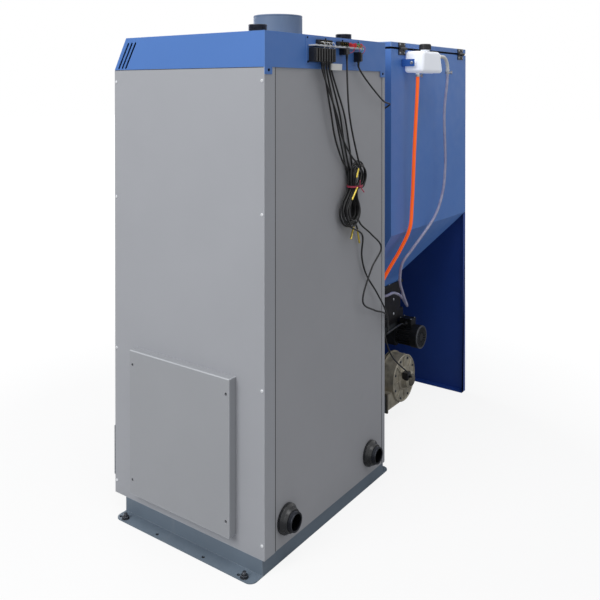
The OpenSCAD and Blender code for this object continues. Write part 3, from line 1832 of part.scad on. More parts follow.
base_frame();
levelling_bolts();
boiler_vessel();
insulation();
side_panel_right();
side_panel_left();
rear_panel();
front_panel();
hood();
casing_screws();
side_cover();
black_screws();
flue_pipe();
pipe_stubs();
pipe_rosettes();
connection_plate();
connector_strip();
socket_blocks();
cable_plugs();
red_terminals();
green_terminals();
control_housing();
display_window();
selector_knob();
power_switch();
furnace_door();
furnace_handle();
furnace_seal();
cleaning_door();
cleaning_handle();
cleaning_seal();
door_hinge_pins();
ash_drawer();
burner();
feeder_tube();
feeder_auger();
gearbox();
gear_motor();
motor_fan();
motor_cowl();
blower_housing();
blower_impeller();
blower_duct();
drop_box();
hopper_bin();
hopper_casing();
hopper_lid();
lid_seal();
lid_hinge_brackets();
lid_hinge_leaves();
lid_handle();
water_tank();
tank_cap();
tank_bracket();
tank_elbow();
orange_hose();
clear_hose();
cable_hank();
cable_runs();
sensor_tips();
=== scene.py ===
"""Pellet boiler: the looks of its cabinet, hopper, feeder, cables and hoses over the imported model."""

import json
import math

import bmesh
import bpy
from mathutils import Matrix, Vector

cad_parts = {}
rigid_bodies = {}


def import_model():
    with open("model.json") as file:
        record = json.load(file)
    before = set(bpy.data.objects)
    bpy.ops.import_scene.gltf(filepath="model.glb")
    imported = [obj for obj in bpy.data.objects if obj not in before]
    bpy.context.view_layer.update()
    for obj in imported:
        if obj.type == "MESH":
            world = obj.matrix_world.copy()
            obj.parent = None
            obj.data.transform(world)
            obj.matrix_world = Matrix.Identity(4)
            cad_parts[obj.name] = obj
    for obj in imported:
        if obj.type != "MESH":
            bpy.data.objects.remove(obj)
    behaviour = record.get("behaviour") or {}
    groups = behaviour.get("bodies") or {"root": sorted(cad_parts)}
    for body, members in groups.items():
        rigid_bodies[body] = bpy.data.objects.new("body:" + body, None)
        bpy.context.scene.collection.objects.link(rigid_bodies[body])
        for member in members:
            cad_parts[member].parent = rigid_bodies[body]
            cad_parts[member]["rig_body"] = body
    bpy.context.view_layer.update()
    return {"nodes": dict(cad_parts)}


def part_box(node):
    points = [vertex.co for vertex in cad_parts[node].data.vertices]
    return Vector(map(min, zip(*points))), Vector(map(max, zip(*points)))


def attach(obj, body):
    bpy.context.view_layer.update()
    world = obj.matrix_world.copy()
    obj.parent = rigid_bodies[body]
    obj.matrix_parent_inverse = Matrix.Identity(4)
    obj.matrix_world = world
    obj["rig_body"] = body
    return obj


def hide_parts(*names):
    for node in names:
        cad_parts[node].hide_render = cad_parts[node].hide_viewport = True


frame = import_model()
NODES = frame["nodes"]
ops = bpy.ops

# Camera, almost level and at the photograph's viewpoint. The shift lowers its frame onto the boiler.

camera_data = bpy.data.cameras.new("camera")
camera = bpy.data.objects.new("camera", camera_data)
bpy.context.scene.collection.objects.link(camera)
camera.location = (1.9206, 1.5589, 1.3362)
camera.rotation_euler = (math.radians(89.613), 0, math.radians(125.595))
camera_data.sensor_width = 36
camera_data.lens = 44.46
camera_data.shift_y = -0.3415
camera_data.clip_end = 60
bpy.context.scene.camera = camera


# Finishes

def rgb(code):
    """Linear colour of a six-digit web colour."""
    parts = [int(code[i:i + 2], 16) / 255 for i in (0, 2, 4)]
    return tuple(c / 12.92 if c < 0.04045 else ((c + 0.055) / 1.055) ** 2.4 for c in parts) + (1,)


def tinted(colour, k):
    return tuple(min(1, c * k) for c in colour[:3]) + (1,)


class Finish:
    """A material under construction: its tree, its shader and the object coordinates."""

    def __init__(self, name, **values):
        self.made = bpy.data.materials.new(name)
        self.made.use_nodes = True
        self.tree = self.made.node_tree
        self.shader = self.tree.nodes["Principled BSDF"]
        self.where = self.add("ShaderNodeTexCoord").outputs["Object"]
        for socket, value in values.items():
            self.shader.inputs[socket.replace("_", " ")].default_value = value

    def add(self, kind, **values):
        node = self.tree.nodes.new(kind)
        for key, value in values.items():
            setattr(node, key, value)
        return node

    def link(self, a, b):
        self.tree.links.new(a, b)

    def noise(self, scale, detail=2.0, stretch=None, rough=0.5):
        """Noise of that many cells per metre, stretched along an axis where stretch says so."""
        node = self.add("ShaderNodeTexNoise")
        node.inputs["Scale"].default_value = scale
        node.inputs["Detail"].default_value = detail
        node.inputs["Roughness"].default_value = rough
        source = self.where
        if stretch:
            mapping = self.add("ShaderNodeMapping")
            mapping.inputs["Scale"].default_value = stretch
            self.link(source, mapping.inputs["Vector"])
            source = mapping.outputs["Vector"]
        self.link(source, node.inputs["Vector"])
        return node.outputs["Fac"]

    def ramp(self, fac, *stops):
        node = self.add("ShaderNodeValToRGB")
        elements = node.color_ramp.elements
        while len(elements) < len(stops):
            elements.new(0.5)
        for element, (place, colour) in zip(elements, stops):
            element.position = place
            element.color = colour
        self.link(fac, node.inputs["Fac"])
        return node.outputs["Color"]

    def range(self, fac, low, high, start=0.3, end=0.7):
        node = self.add("ShaderNodeMapRange")
        for socket, value in zip(("From Min", "From Max", "To Min", "To Max"), (start, end, low, high)):
            node.inputs[socket].default_value = value
        self.link(fac, node.inputs["Value"])
        return node.outputs["Result"]

    def mix(self, fac, a, b):
        node = self.add("ShaderNodeMix", data_type="RGBA")
        for socket, value in (("Factor", fac), ("A", a), ("B", b)):
            place = [s for s in node.inputs if s.name == socket and s.type in ("RGBA", "VALUE")]
            target = place[0] if socket == "Factor" else [s for s in place if s.type == "RGBA"][0]
            if hasattr(value, "is_linked"):
                self.link(value, target)
            else:
                target.default_value = value
        return [s for s in node.outputs if s.type == "RGBA"][0]

    def colour(self, source):
        self.link(source, self.shader.inputs["Base Color"])

    def rough(self, source):
        self.link(source, self.shader.inputs["Roughness"])

    def bump(self, fac, depth, strength=1.0):
        """Bump of that depth in metres, over the bump that is there already."""
        node = self.add("ShaderNodeBump")
        node.inputs["Distance"].default_value = depth
        node.inputs["Strength"].default_value = strength
        self.link(fac, node.inputs["Height"])
        here = self.shader.inputs["Normal"]
        if here.is_linked:
            self.link(here.links[0].from_socket, node.inputs["Normal"])
        self.link(node.outputs["Normal"], here)


def powder_coat(name, code, rough=0.42, drift=0.05, peel=0.00012, dust=None):
    """Powder coat: fine orange peel, soft changes of tone and gloss, and a few dusty rubs."""
    f = Finish(name, Specular_IOR_Level=0.35)
    base = rgb(code)
    tone = f.ramp(f.noise(3.2, 3), (0.3, tinted(base, 1 - drift)), (0.7, tinted(base, 1 + drift)))
    if dust:
        rubs = f.range(f.noise(9, 6, (1, 1, 0.35), 0.7), 0, 0.5, 0.56, 0.78)
        tone = f.mix(rubs, tone, rgb(dust))
    f.colour(tone)
    f.rough(f.range(f.noise(26, 4), rough - 0.06, rough + 0.08))
    f.bump(f.noise(620, 2), peel, 0.5)
    f.bump(f.noise(5.5, 2), 0.0006, 0.25)
    return f.made


def bare_metal(name, code, rough=0.32, grain=(1, 1, 1), dark=0.75):
    """Bare or blackened metal with fine lines along one axis and darker patches."""
    f = Finish(name, Metallic=1.0)
    base = rgb(code)
    f.colour(f.ramp(f.noise(60, 5, grain), (0.3, tinted(base, dark)), (0.68, tinted(base, 1.12))))
    f.rough(f.range(f.noise(240, 3, grain), rough - 0.08, rough + 0.12))
    f.bump(f.noise(900, 3, grain), 0.00008, 0.5)
    return f.made


def moulded(name, code, rough=0.45, grain=0.0001, drift=0.08, **values):
    """Moulded plastic or rubber: a fine grain and a slightly uneven tone."""
    f = Finish(name, **values)
    base = rgb(code)
    f.colour(f.ramp(f.noise(35, 3), (0.3, tinted(base, 1 - drift)), (0.7, tinted(base, 1 + drift))))
    f.rough(f.range(f.noise(120, 3), rough - 0.06, rough + 0.08))
    f.bump(f.noise(1500, 2), grain, 0.5)
    return f.made


def cast(name, code, rough=0.5, metallic=0.9, pits=0.0004):
    """Cast metal: sand grain, pits and darker patches."""
    f = Finish(name, Metallic=metallic)
    base = rgb(code)
    f.colour(f.ramp(f.noise(45, 6), (0.32, tinted(base, 0.7)), (0.66, tinted(base, 1.15))))
    f.rough(f.range(f.noise(200, 4), rough - 0.1, rough + 0.12))
    f.bump(f.noise(700, 4), pits, 0.6)
    return f.made


# Each edge finish below is a lighter copy of its paint, laid on the rounded edges as a painted highlight.
CASING = powder_coat("casing_grey", "ABADB2", 0.5, 0.02)
CASING_EDGE_HIGHLIGHT = powder_coat("casing_grey_edge", "BFC2C6", 0.44, 0.02)
# The rear panel's grey is the casing's paint made a little darker: painted shade.
REAR_GREY_SHADED = powder_coat("rear_grey", "A8A9AD", 0.5, 0.03)
COVER = powder_coat("cover_grey", "A4A6AA", 0.5, 0.02)
HOOD = powder_coat("hood_blue", "527FC6", 0.44, 0.03)
HOOD_EDGE_HIGHLIGHT = powder_coat("hood_blue_edge", "84A9E0", 0.4, 0.03)
PLATE = powder_coat("plate_blue", "4F7AC0", 0.44, 0.03)
HOPPER = powder_coat("hopper_blue", "5A88D2", 0.44, 0.03)
HOPPER_EDGE_HIGHLIGHT = powder_coat("hopper_blue_edge", "86A4D2", 0.42, 0.03)
NAVY = powder_coat("hopper_navy", "294A9A", 0.44, 0.05)
NAVY_EDGE_HIGHLIGHT = powder_coat("hopper_navy_edge", "5874B4", 0.42, 0.04)
LID = powder_coat("lid_blue", "5A85CC", 0.42, 0.03)
BASE = powder_coat("base_paint", "6F7C89", 0.46, 0.06, dust="8B9198")
BASE_EDGE_HIGHLIGHT = powder_coat("base_paint_edge", "9AA2AC", 0.42, 0.05)
DOOR = powder_coat("door_paint", "464E57", 0.45, 0.05, 0.0002, dust="5E646A")
FLUE = powder_coat("flue_paint", "6F8095", 0.5, 0.06, 0.0002, dust="7F8C9E")
SOOT = powder_coat("vessel_steel", "33373D", 0.7, 0.25, 0.0006, dust="6B4A36")
SOOT_INSIDE = powder_coat("soot_black", "17181B", 0.85, 0.2, 0.0006)
BURNER = powder_coat("burner_steel", "2A2E33", 0.55, 0.1, 0.0002, dust="46484B")
DROP = powder_coat("drop_box_black", "0C0B10", 0.5, 0.1, 0.0002, dust="1B1B20")
STUB = bare_metal("stub_steel", "3A3C42", 0.34, (1, 1, 0.2))
BOLT = bare_metal("bolt_steel", "5A5D63", 0.4)
ZINC = bare_metal("zinc_steel", "B4B7BC", 0.3)
BLACK_SCREW = bare_metal("dark_screw", "141519", 0.45)
WHITE_SCREW = powder_coat("white_screw", "EDEFF1", 0.3, 0.03)
BRASS = bare_metal("tip_brass", "D2BC58", 0.34, (1, 1, 1), 0.82)
STEEL = bare_metal("auger_steel", "A0A3A8", 0.34, (0.15, 1, 1))
CAST_GREY = cast("blower_cast", "ABA595", 0.5, 0.35)
CAST_DARK = cast("blower_rim", "6A665C", 0.5, 0.5)
CAST_BLACK = cast("gearbox_iron", "1E2023", 0.5, 0.3)
MOTOR = cast("motor_paint", "1A1C1F", 0.45, 0.3, 0.0002)
RIM_GREY = cast("cowl_rim", "5A5C60", 0.4, 0.6, 0.0001)
BLACK = moulded("plug_plastic", "101115", 0.45)
HANDLE = moulded("handle_black", "17191C", 0.36)
CAP = moulded("cap_plastic", "1B1C20", 0.46)
FAN = moulded("fan_plastic", "3C3E43", 0.5)
RUBBER = moulded("rosette_rubber", "1A1C20", 0.28)
SHEATH = moulded("cable_rubber", "0B0C0F", 0.42, 0.00006)
FOAM = moulded("seal_foam", "0F1116", 0.85, 0.0006)
STRIP = moulded("strip_plastic", "D3D6DB", 0.4)
RED = moulded("red_plastic", "D22832", 0.35)
GREEN = moulded("green_plastic", "2F9444", 0.35)
# The tank's white plastic also glows a little, which is painted light that brightens it.
TANK_GLOWING = moulded("tank_plastic", "F2F5FA", 0.34, 0.00012, 0.015,
               Emission_Color=rgb("E6ECF8"), Emission_Strength=0.22)
ELBOW = moulded("elbow_plastic", "E2E2DE", 0.3, 0.00005, 0.03)
# The hose's orange rubber also glows, which is painted light that brightens it.
ORANGE_GLOWING = moulded("orange_rubber", "FF7424", 0.42, 0.00008, 0.04,
                 Emission_Color=rgb("FF5410"), Emission_Strength=0.42)
KNOB = moulded("knob_metal", "B9BEC4", 0.34)
ROCKER = moulded("switch_plastic", "8C1A1F", 0.3)
PAPER = moulded("tag_paper", "EDEDEA", 0.7, 0.0001, 0.02)
TIE = moulded("tie_red", "A83850", 0.55, 0.0001)
PALE_WIRE = moulded("pale_wire", "D9DADC", 0.4, 0.00003)
GREY_WIRE = moulded("grey_wire", "8E9197", 0.4, 0.00003)
RED_WIRE = moulded("red_wire", "C4303A", 0.4, 0.00003)
GREEN_WIRE = moulded("green_wire", "3C8C4A", 0.4, 0.00003)
BRACKET = powder_coat("bracket_blue", "2F62B2", 0.4, 0.04)
GLASS = moulded("display_glass", "0C2340", 0.12, 0.00001, 0.2)


def clear_tube():
    """Soft clear hose with a faint lilac tint and a little haze."""
    f = Finish("clear_plastic", Roughness=0.22, IOR=1.42)
    f.shader.inputs["Transmission Weight"].default_value = 0.25
    f.colour(f.ramp(f.noise(40, 3), (0.3, rgb("B6B5D6")), (0.7, rgb("D6D6EA"))))
    f.bump(f.noise(300, 3), 0.0001, 0.4)
    return f.made


def mineral_wool():
    f = Finish("mineral_wool", Roughness=0.95)
    f.colour(f.ramp(f.noise(120, 6, (1, 1, 4), 0.7), (0.3, rgb("8F8257")), (0.7, rgb("DCCF9F"))))
    f.bump(f.noise(260, 6, (1, 1, 5), 0.75), 0.003, 0.8)
    return f.made


def seal_rope():
    """Square braid of glass fibre: one diagonal wave pattern."""
    f = Finish("seal_rope", Roughness=0.85)
    wave = f.add("ShaderNodeTexWave", bands_direction="DIAGONAL")
    wave.inputs["Scale"].default_value = 70
    wave.inputs["Distortion"].default_value = 1.2
    f.link(f.where, wave.inputs["Vector"])
    f.colour(f.ramp(wave.outputs["Fac"], (0.1, rgb("8C8778")), (0.8, rgb("D6D2C4"))))
    f.bump(wave.outputs["Fac"], 0.0012, 0.8)
    return f.made


CLEAR, WOOL, ROPE = clear_tube(), mineral_wool(), seal_rope()


# The workbench: how pieces are modelled. Places and sizes here are in millimetres.

SHARP = math.radians(28)  # edges that bend more than this are worked
BROAD = 0.006  # faces wider than this many metres aren't the edge of a sheet
MERGE = 0.00002  # corners nearer than this many metres are one


def over(z):
    """A step up."""
    return Vector((0, 0, z))


def only(o):
    """Selects this object alone and makes it active."""
    ops.object.select_all(action="DESELECT")
    o.select_set(True)
    bpy.context.view_layer.objects.active = o
    return o


def settled(o):
    """Applies the object's place, turn and scale to its mesh."""
    only(o)
    ops.object.transform_apply(location=True, rotation=True, scale=True)
    return o


def apply_modifiers(o):
    only(o)
    for m in list(o.modifiers):
        ops.object.modifier_apply(modifier=m.name)
    return o


def smooth_by(o, degrees=32):
    """Smooth shading up to that angle, with the large faces kept flat."""
    only(o)
    ops.object.shade_smooth_by_angle(angle=math.radians(degrees))
    m = o.modifiers.new("flat faces", "WEIGHTED_NORMAL")
    m.keep_sharp = True
    return apply_modifiers(o)


def painted(o, *finishes):
    """Gives a piece its finish, or its faces' and its edges' finishes, before it is joined to others."""
    o.data.materials.clear()
    for finish in finishes:
        o.data.materials.append(finish)
    return o


def painted_where(o, finish, test):
    """A second finish on the faces whose middle and normal pass the test."""
    o.data.materials.append(finish)
    index = len(o.data.materials) - 1
    for p in o.data.polygons:
        if test(p.center * 1000, p.normal):
            p.material_index = index
    return o


def wear(o, finish, body, stands_for=()):
    """Gives a finished piece its material, unless it is painted, and the body it moves with."""
    if not o.data.materials:
        painted(o, finish)
    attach(o, body)
    if stands_for:
        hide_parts(*stands_for)
    return o


def edit(o, kind="FACE"):
    """Opens a piece in edit mode with nothing selected."""
    only(o)
    ops.object.mode_set(mode="EDIT")
    ops.mesh.select_mode(type=kind)
    ops.mesh.select_all(action="DESELECT")
    return bmesh.from_edit_mesh(o.data)


def done(o):
    ops.object.mode_set(mode="OBJECT")
    return o


def opened(o, kind="FACE"):
    """Opens a piece in edit mode with everything selected."""
    edit(o, kind)
    ops.mesh.select_all(action="SELECT")


def nudged(o, test, by):
    """Moves the corners that pass the test."""
    bm = edit(o, "VERT")
    for v in bm.verts:
        v.select_set(bool(test(v.co * 1000)))
    bmesh.update_edit_mesh(o.data)
    ops.transform.translate(value=tuple(Vector(by) / 1000))
    return done(o)


def split(o, at, normal):
    """Cuts a piece's faces along a plane and keeps both sides."""
    opened(o)
    ops.mesh.bisect(plane_co=tuple(Vector(at) / 1000), plane_no=normal)
    return done(o)


def pick_faces(o, test):
    """Opens the piece and selects the faces whose middle and normal pass the test."""
    bm = edit(o)
    for f in bm.faces:
        f.select_set(bool(test(f.calc_center_median() * 1000, f.normal)))
    bmesh.update_edit_mesh(o.data)


def block(name, low, high):
    """A box between two corners."""
    ops.object.select_all(action="DESELECT")
    ops.mesh.primitive_cube_add(size=1, location=[(a + b) / 2000 for a, b in zip(low, high)])
    o = bpy.context.object
    o.name = name
    o.scale = [(b - a) / 1000 for a, b in zip(low, high)]
    return settled(o)


def rounded(o, radius, segments=2):
    """Bevels the sharp edges."""
    bm = edit(o, "EDGE")
    for e in bm.edges:
        e.select_set(len(e.link_faces) == 2 and e.calc_face_angle(0) > SHARP)
    bmesh.update_edit_mesh(o.data)
    ops.mesh.bevel(offset=radius / 1000, segments=segments, affect="EDGES", clamp_overlap=True)
    return done(o)


def pushed(o, test, *steps):
    """Insets the faces that the test picks and extrudes them along their normal, step by step."""
    pick_faces(o, test)
    for inset, depth in steps:
        if inset:
            ops.mesh.inset(thickness=inset / 1000, use_even_offset=True)
        if depth:
            bm = bmesh.from_edit_mesh(o.data)
            way = Vector()
            for f in bm.faces:
                if f.select:
                    way += f.normal * f.calc_area()
            way.normalize()
            ops.mesh.extrude_region_move(TRANSFORM_OT_translate={"value": way * depth / 1000})
    return done(o)


def bridge_open(o):
    """Joins the two open rims of a piece with faces."""
    ops.mesh.select_mode(type="EDGE")
    bm = bmesh.from_edit_mesh(o.data)
    for e in bm.edges:
        e.select_set(e.is_boundary)
    bmesh.update_edit_mesh(o.data)
    ops.mesh.bridge_edge_loops()
    ops.mesh.select_all(action="SELECT")
    ops.mesh.normals_make_consistent(inside=False)


def ring_of(name, low, high, wall, axis):
    """A closed frame: a box whose two faces across the axis are inset, cut out and bridged."""
    o = block(name, low, high)
    pick_faces(o, lambda c, n: abs(n[axis]) > 0.9)
    ops.mesh.inset(thickness=wall / 1000, use_even_offset=True)
    ops.mesh.delete(type="FACE")
    bridge_open(o)
    return done(o)


def place(o, at, along=(0, 0, 1)):
    """Turns a piece made along Z to another direction and moves it there."""
    o.rotation_mode = "QUATERNION"
    o.rotation_quaternion = Vector(along).to_track_quat("Z", "Y")
    o.location = Vector(at) / 1000
    return settled(o)


def turned(name, steps, at=(0, 0, 0), along=(0, 0, 1), sides=48, through=False):
    """A round piece from (radius, height) steps along its axis: one disc, extruded and scaled.
    A through piece comes back down inside to where it began and is joined there."""
    radius, height = steps[0]
    ops.object.select_all(action="DESELECT")
    ops.mesh.primitive_circle_add(
        vertices=sides, radius=radius / 1000, fill_type="NGON", location=(0, 0, height / 1000)
    )
    o = bpy.context.object
    o.name = name
    settled(o)
    opened(o)
    for r, z in steps[1:]:
        rise = (0, 0, (z - height) / 1000)
        ops.mesh.extrude_region_move(TRANSFORM_OT_translate={"value": rise})
        k = r / radius
        ops.transform.resize(value=(k, k, 1), center_override=(0, 0, z / 1000))
        radius, height = r, z
    if through:
        ops.mesh.delete(type="FACE")
        bm = bmesh.from_edit_mesh(o.data)
        first = [f for f in bm.faces if len(f.verts) == sides]
        bmesh.ops.delete(bm, geom=first, context="FACES_ONLY")
        bmesh.update_edit_mesh(o.data)
        bridge_open(o)
    ops.mesh.select_all(action="SELECT")
    ops.mesh.normals_make_consistent(inside=False)
    done(o)
    return place(o, at, along)


def copied(o, name):
    """A copy with its own mesh."""
    only(o)
    ops.object.duplicate(linked=False)
    twin = bpy.context.object
    twin.name = name
    return twin


def joined(name, parts):
    ops.object.select_all(action="DESELECT")
    for p in parts:
        p.select_set(True)
    bpy.context.view_layer.objects.active = parts[0]
    if len(parts) > 1:
        ops.object.join()
    parts[0].name = name
    return parts[0]


def ringed(o, name, count, centre, axis):
    """The piece and its copies round an axis, as one piece."""
    middle = Vector(centre) / 1000
    parts = [o]
    for i in range(1, count):
        twin = copied(o, name)
        turn = Matrix.Rotation(math.radians(360 * i / count), 4, Vector(axis))
        twin.matrix_world = Matrix.Translation(middle) @ turn @ Matrix.Translation(-middle)
        parts.append(settled(twin))
    return joined(name, parts)


def cut_by(o, cutter):
    """Cuts one piece out of another."""
    m = o.modifiers.new("cut", "BOOLEAN")
    m.object = cutter
    m.operation = "DIFFERENCE"
    m.solver = "EXACT"
    apply_modifiers(o)
    bpy.data.objects.remove(cutter)
    return o


def cross_cutter(width, reach, low, high):
    """A cross-shaped bar: a square one with its four sides pulled out."""
    o = block("cross", (-width / 2, -width / 2, low), (width / 2, width / 2, high))
    for way in ((1, 0), (-1, 0), (0, 1), (0, -1)):
        pushed(o, lambda c, n: n.x * way[0] + n.y * way[1] > 0.9 and c.xy.length < width * 0.6, (0, reach))
    return o


def screw(name, radius, dome):
    """Domed screw head on the plane Z = 0, with a cross recess."""
    o = turned(name, [
        (radius, 0), (radius, 0.3 * dome), (0.94 * radius, 0.62 * dome), (0.78 * radius, 0.86 * dome),
        (0.5 * radius, dome),
    ], sides=32)
    cut_by(o, cross_cutter(0.2 * radius, 0.42 * radius, 0.35 * dome, 2 * dome))
    return smooth_by(o, 40)


def solids(node):
    """Lowest and highest corner of each separate solid of a CAD node, in millimetres."""
    bm = bmesh.new()
    bm.from_mesh(NODES[node].data)
    bmesh.ops.remove_doubles(bm, verts=bm.verts, dist=0.00001)
    seen, found = set(), []
    for start in bm.verts:
        if start in seen:
            continue
        seen.add(start)
        group, heap = [], [start]
        while heap:
            v = heap.pop()
            group.append(v.co * 1000)
            for e in v.link_edges:
                other = e.other_vert(v)
                if other not in seen:
                    seen.add(other)
                    heap.append(other)
        found.append((
            Vector([min(c[i] for c in group) for i in range(3)]),
            Vector([max(c[i] for c in group) for i in range(3)]),
        ))
    bm.free()
    return found


def corners(node):
    """Lowest and highest corner of a CAD node, in millimetres."""
    return [Vector(p) * 1000 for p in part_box(node)]


def body_of(node):
    return NODES[node]["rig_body"]


def dressed(o, degrees, finish, node, instead=False):
    """Smooths a finished piece, which then moves with a CAD node or stands in its place."""
    smooth_by(o, degrees)
    return wear(o, finish, body_of(node), [node] if instead else [])


def broad(face):
    """Whether a face is wider than the edges of a sheet are."""
    return face.calc_area() / max(e.calc_length() for e in face.edges) > BROAD


def edge_worked(node, fold, cut, finishes, slot, root=0.0):
    """A sheet-metal or cast part from its CAD node, with its bends rounded to the fold radius,
    its cut edges broken and, where root is given, its inner bends filled to that radius."""
    src = NODES[node]
    o = bpy.data.objects.new(node + "_shape", src.data.copy())
    bpy.context.scene.collection.objects.link(o)
    painted(o, *finishes)
    opened(o)
    ops.mesh.remove_doubles(threshold=MERGE)
    ops.mesh.dissolve_limited(angle_limit=math.radians(0.6))
    done(o)
    for p in o.data.polygons:
        p.material_index = 0
    bm = bmesh.new()
    bm.from_mesh(o.data)
    weight = bm.edges.layers.float.new("bevel_weight_edge")
    widest = max(fold, cut, root)
    for e in bm.edges:
        if len(e.link_faces) != 2:
            continue
        angle = e.calc_face_angle_signed(0)
        if abs(angle) < SHARP:
            continue
        both = all(broad(f) for f in e.link_faces)
        size = (fold if both else cut) if angle > 0 else (root if both else 0)
        e[weight] = size / widest
    bm.to_mesh(o.data)
    bm.free()
    m = o.modifiers.new("edges", "BEVEL")
    m.limit_method = "WEIGHT"
    m.width = widest
    m.segments = 3
    m.use_clamp_overlap = True
    # The bevels take the last finish, which on the two-finish parts is a lighter paint: a painted highlight
    # along the worked edges.
    m.material = len(finishes) - 1
    apply_modifiers(o)
    smooth_by(o)
    return wear(o, finishes[0], body_of(node), [node])


# Cables and hoses: their routes are the part's own, from the end that they leave

def smooth_line(points, step=0.006):
    """Close points along a smooth curve through the route's points, given in millimetres."""
    p = [Vector(q) / 1000 for q in points]
    p = [2 * p[0] - p[1]] + p + [2 * p[-1] - p[-2]]
    line = []
    for a, b, c, d in zip(p, p[1:], p[2:], p[3:]):
        t1 = (b - a).length ** 0.5
        t2 = t1 + (c - b).length ** 0.5
        t3 = t2 + (d - c).length ** 0.5
        count = max(1, round((c - b).length / step))
        for i in range(count):
            t = t1 + (t2 - t1) * i / count
            ab = (a * (t1 - t) + b * t) / t1
            bc = (b * (t2 - t) + c * (t - t1)) / (t2 - t1)
            cd = (c * (t3 - t) + d * (t - t2)) / (t3 - t2)
            abc = (ab * (t2 - t) + bc * t) / t2
            bcd = (bc * (t3 - t) + cd * (t - t1)) / (t3 - t1)
            line.append((abc * (t2 - t) + bcd * (t - t1)) / (t2 - t1))
    return line + [p[-2]]


def cord_curve(name, line, diameter, finish, nodes=(), sides=3):
    """A round cord as one open curve along the line."""
    data = bpy.data.curves.new(name, "CURVE")
    data.dimensions = "3D"
    data.bevel_depth = diameter / 2
    data.bevel_resolution = sides
    data.use_fill_caps = True
    spline = data.splines.new("POLY")
    spline.points.add(len(line) - 1)
    for point, at in zip(spline.points, line):
        point.co = (*at, 1)
    o = bpy.data.objects.new(name, data)
    bpy.context.scene.collection.objects.link(o)
    return wear(o, finish, "boiler", nodes)


HANK_CENTRE = Vector((-95, 326, 1021))
HANK_LEAN, HANK_BEND = math.radians(8), math.radians(50)
HANK_BEND_FROM, HANK_BEND_L = -30, 90


def clamped(value):
    return min(1, max(0, value))


def hank_lobe(f, r, h, waist):
    """Half width and height on a quarter of a loop, from the waist, f = 0, to its end, f = 1."""
    s = f * (h - r + math.pi * r / 2)
    e = min(1, s / (h - r))
    a = max(0, s - h + r) / r
    return (waist + (r - waist) * e * e * (3 - 2 * e)) * math.cos(a), min(s, h - r) + r * math.sin(a)


def hank_turn(u):
    """How far the hank leans at that height over its tie."""
    return HANK_LEAN + HANK_BEND * clamped((u - HANK_BEND_FROM) / HANK_BEND_L)


def hank_axis(u):
    """The hank's middle line at that height over its tie."""
    r = HANK_BEND_L / HANK_BEND
    a = hank_turn(u)
    rest = min(0, u - HANK_BEND_FROM) + max(0, u - HANK_BEND_FROM - HANK_BEND_L)
    return Vector((
        r * (math.cos(a) - math.cos(HANK_LEAN)) - rest * math.sin(a),
        0,
        r * (math.sin(a) - math.sin(HANK_LEAN)) + rest * math.cos(a),
    ))


def hank_point(t):
    """Point of the hank after t turns: it spirals in, climbs a layer and spirals out again."""
    m = math.fmod(t, 4)
    q = min(m, 4 - m)
    waist = 17.5 - 7.4 * q
    a = (t + 1) % 1 * 4
    k = math.floor(a)
    f = a - k if k % 2 == 0 else k + 1 - a
    if k < 2:
        w, u = hank_lobe(f, 53 - 13 * q, 122 - 13 * q, waist)
        u = -u
    else:
        w, u = hank_lobe(f, 52 - 15 * q, 99 - 15 * q, waist)
    if k in (1, 2):
        w = -w
    y = (sum(clamped((t - 2 * j + 0.25) * 2) for j in (1, 2, 3)) - 1.5) * 6.7
    lean = hank_turn(u)
    across = Vector((w * math.cos(lean), y, w * math.sin(lean)))
    return HANK_CENTRE + hank_axis(u) - hank_axis(0) + across


turns = [hank_point(i / 24) for i in range(-1, 174)]
way_in = (turns[1] - turns[0]).normalized()
way_out = (turns[-1] - turns[-2]).normalized()
ROUTE_A = [
    (68, 322, 1420), (68, 322, 1402), (26, 320, 1262), (2, 318, 1190), (-42, 316, 1118),
    turns[0] - 18 * way_in, turns[0] - 6 * way_in, *turns,
    turns[-1] + 6 * way_out, turns[-1] + 18 * way_out,
    (-150, 326, 864), (-162, 316, 796), (-194, 313, 730), (-256, 322, 650), (-296, 333, 580),
    (-330, 322, 520), (-356, 308, 500), (-412, 272, 468), (-720, 165, 400), (-850, 106, 356),
    (-885, 90, 342), (-908, 90, 342),
]
ROUTE_B = [
    (54, 322, 1420), (54, 322, 1402), (0, 318, 1262), (-80, 308, 1080), (-100, 308, 1030),
    (-117, 308, 926), (-119, 313, 902), (-110, 316, 894),
]
ROUTE_C = [
    (26, 320, 1420), (26, 320, 1402), (-60, 312, 1262), (-92, 308, 1180), (-128, 308, 1030),
    (-134, 308, 960), (-150, 316, 905), (-194, 332, 864), (-256, 336, 808), (-196, 334, 750),
    (-146, 330, 652), (-225, 327, 604), (-304, 320, 574), (-350, 308, 545), (-402, 262, 505),
    (-560, 210, 330), (-738, 202, 196), (-755, 192, 184), (-755, 183, 184),
]
ROUTE_D = [
    (-48, 330, 1446), (-48, 330, 1428), (-42, 343, 1262), (-92, 344, 1120), (-112, 344, 1080),
    (-106, 344, 1052), (-93, 344, 1035), (-86, 344, 1027),
]
ROUTE_E = [
    (82, 324, 1420), (82, 324, 1402), (26, 340, 1262), (-2, 343, 1190), (-50, 346, 1130),
    (-86, 346, 1104), (-94, 346, 1092), (-91, 346, 1085),
]
ROUTE_F = [
    (40, 322, 1420), (40, 322, 1402), (-30, 315, 1262), (-64, 308, 1180), (-114, 308, 1030),
    (-124, 308, 940), (-131, 312, 904), (-134, 315, 892), (-137, 315, 882),
]
ROUTE_SIDE = [
    (-131, 322, 1427), (-131, 322, 1412), (-286, 326, 1300), (-350, 316, 1286),
    (-358, 285, 1270), (-336, 285, 1270),
]
ROUTE_ORANGE = [
    (-620, 288, 1402), (-620, 288, 1370), (-607, 281, 1110), (-614, 268, 900), (-608, 262, 812),
    (-606, 222, 725), (-596, 175, 640), (-604, 124, 550), (-640, 95, 498), (-640, 75, 498),
]
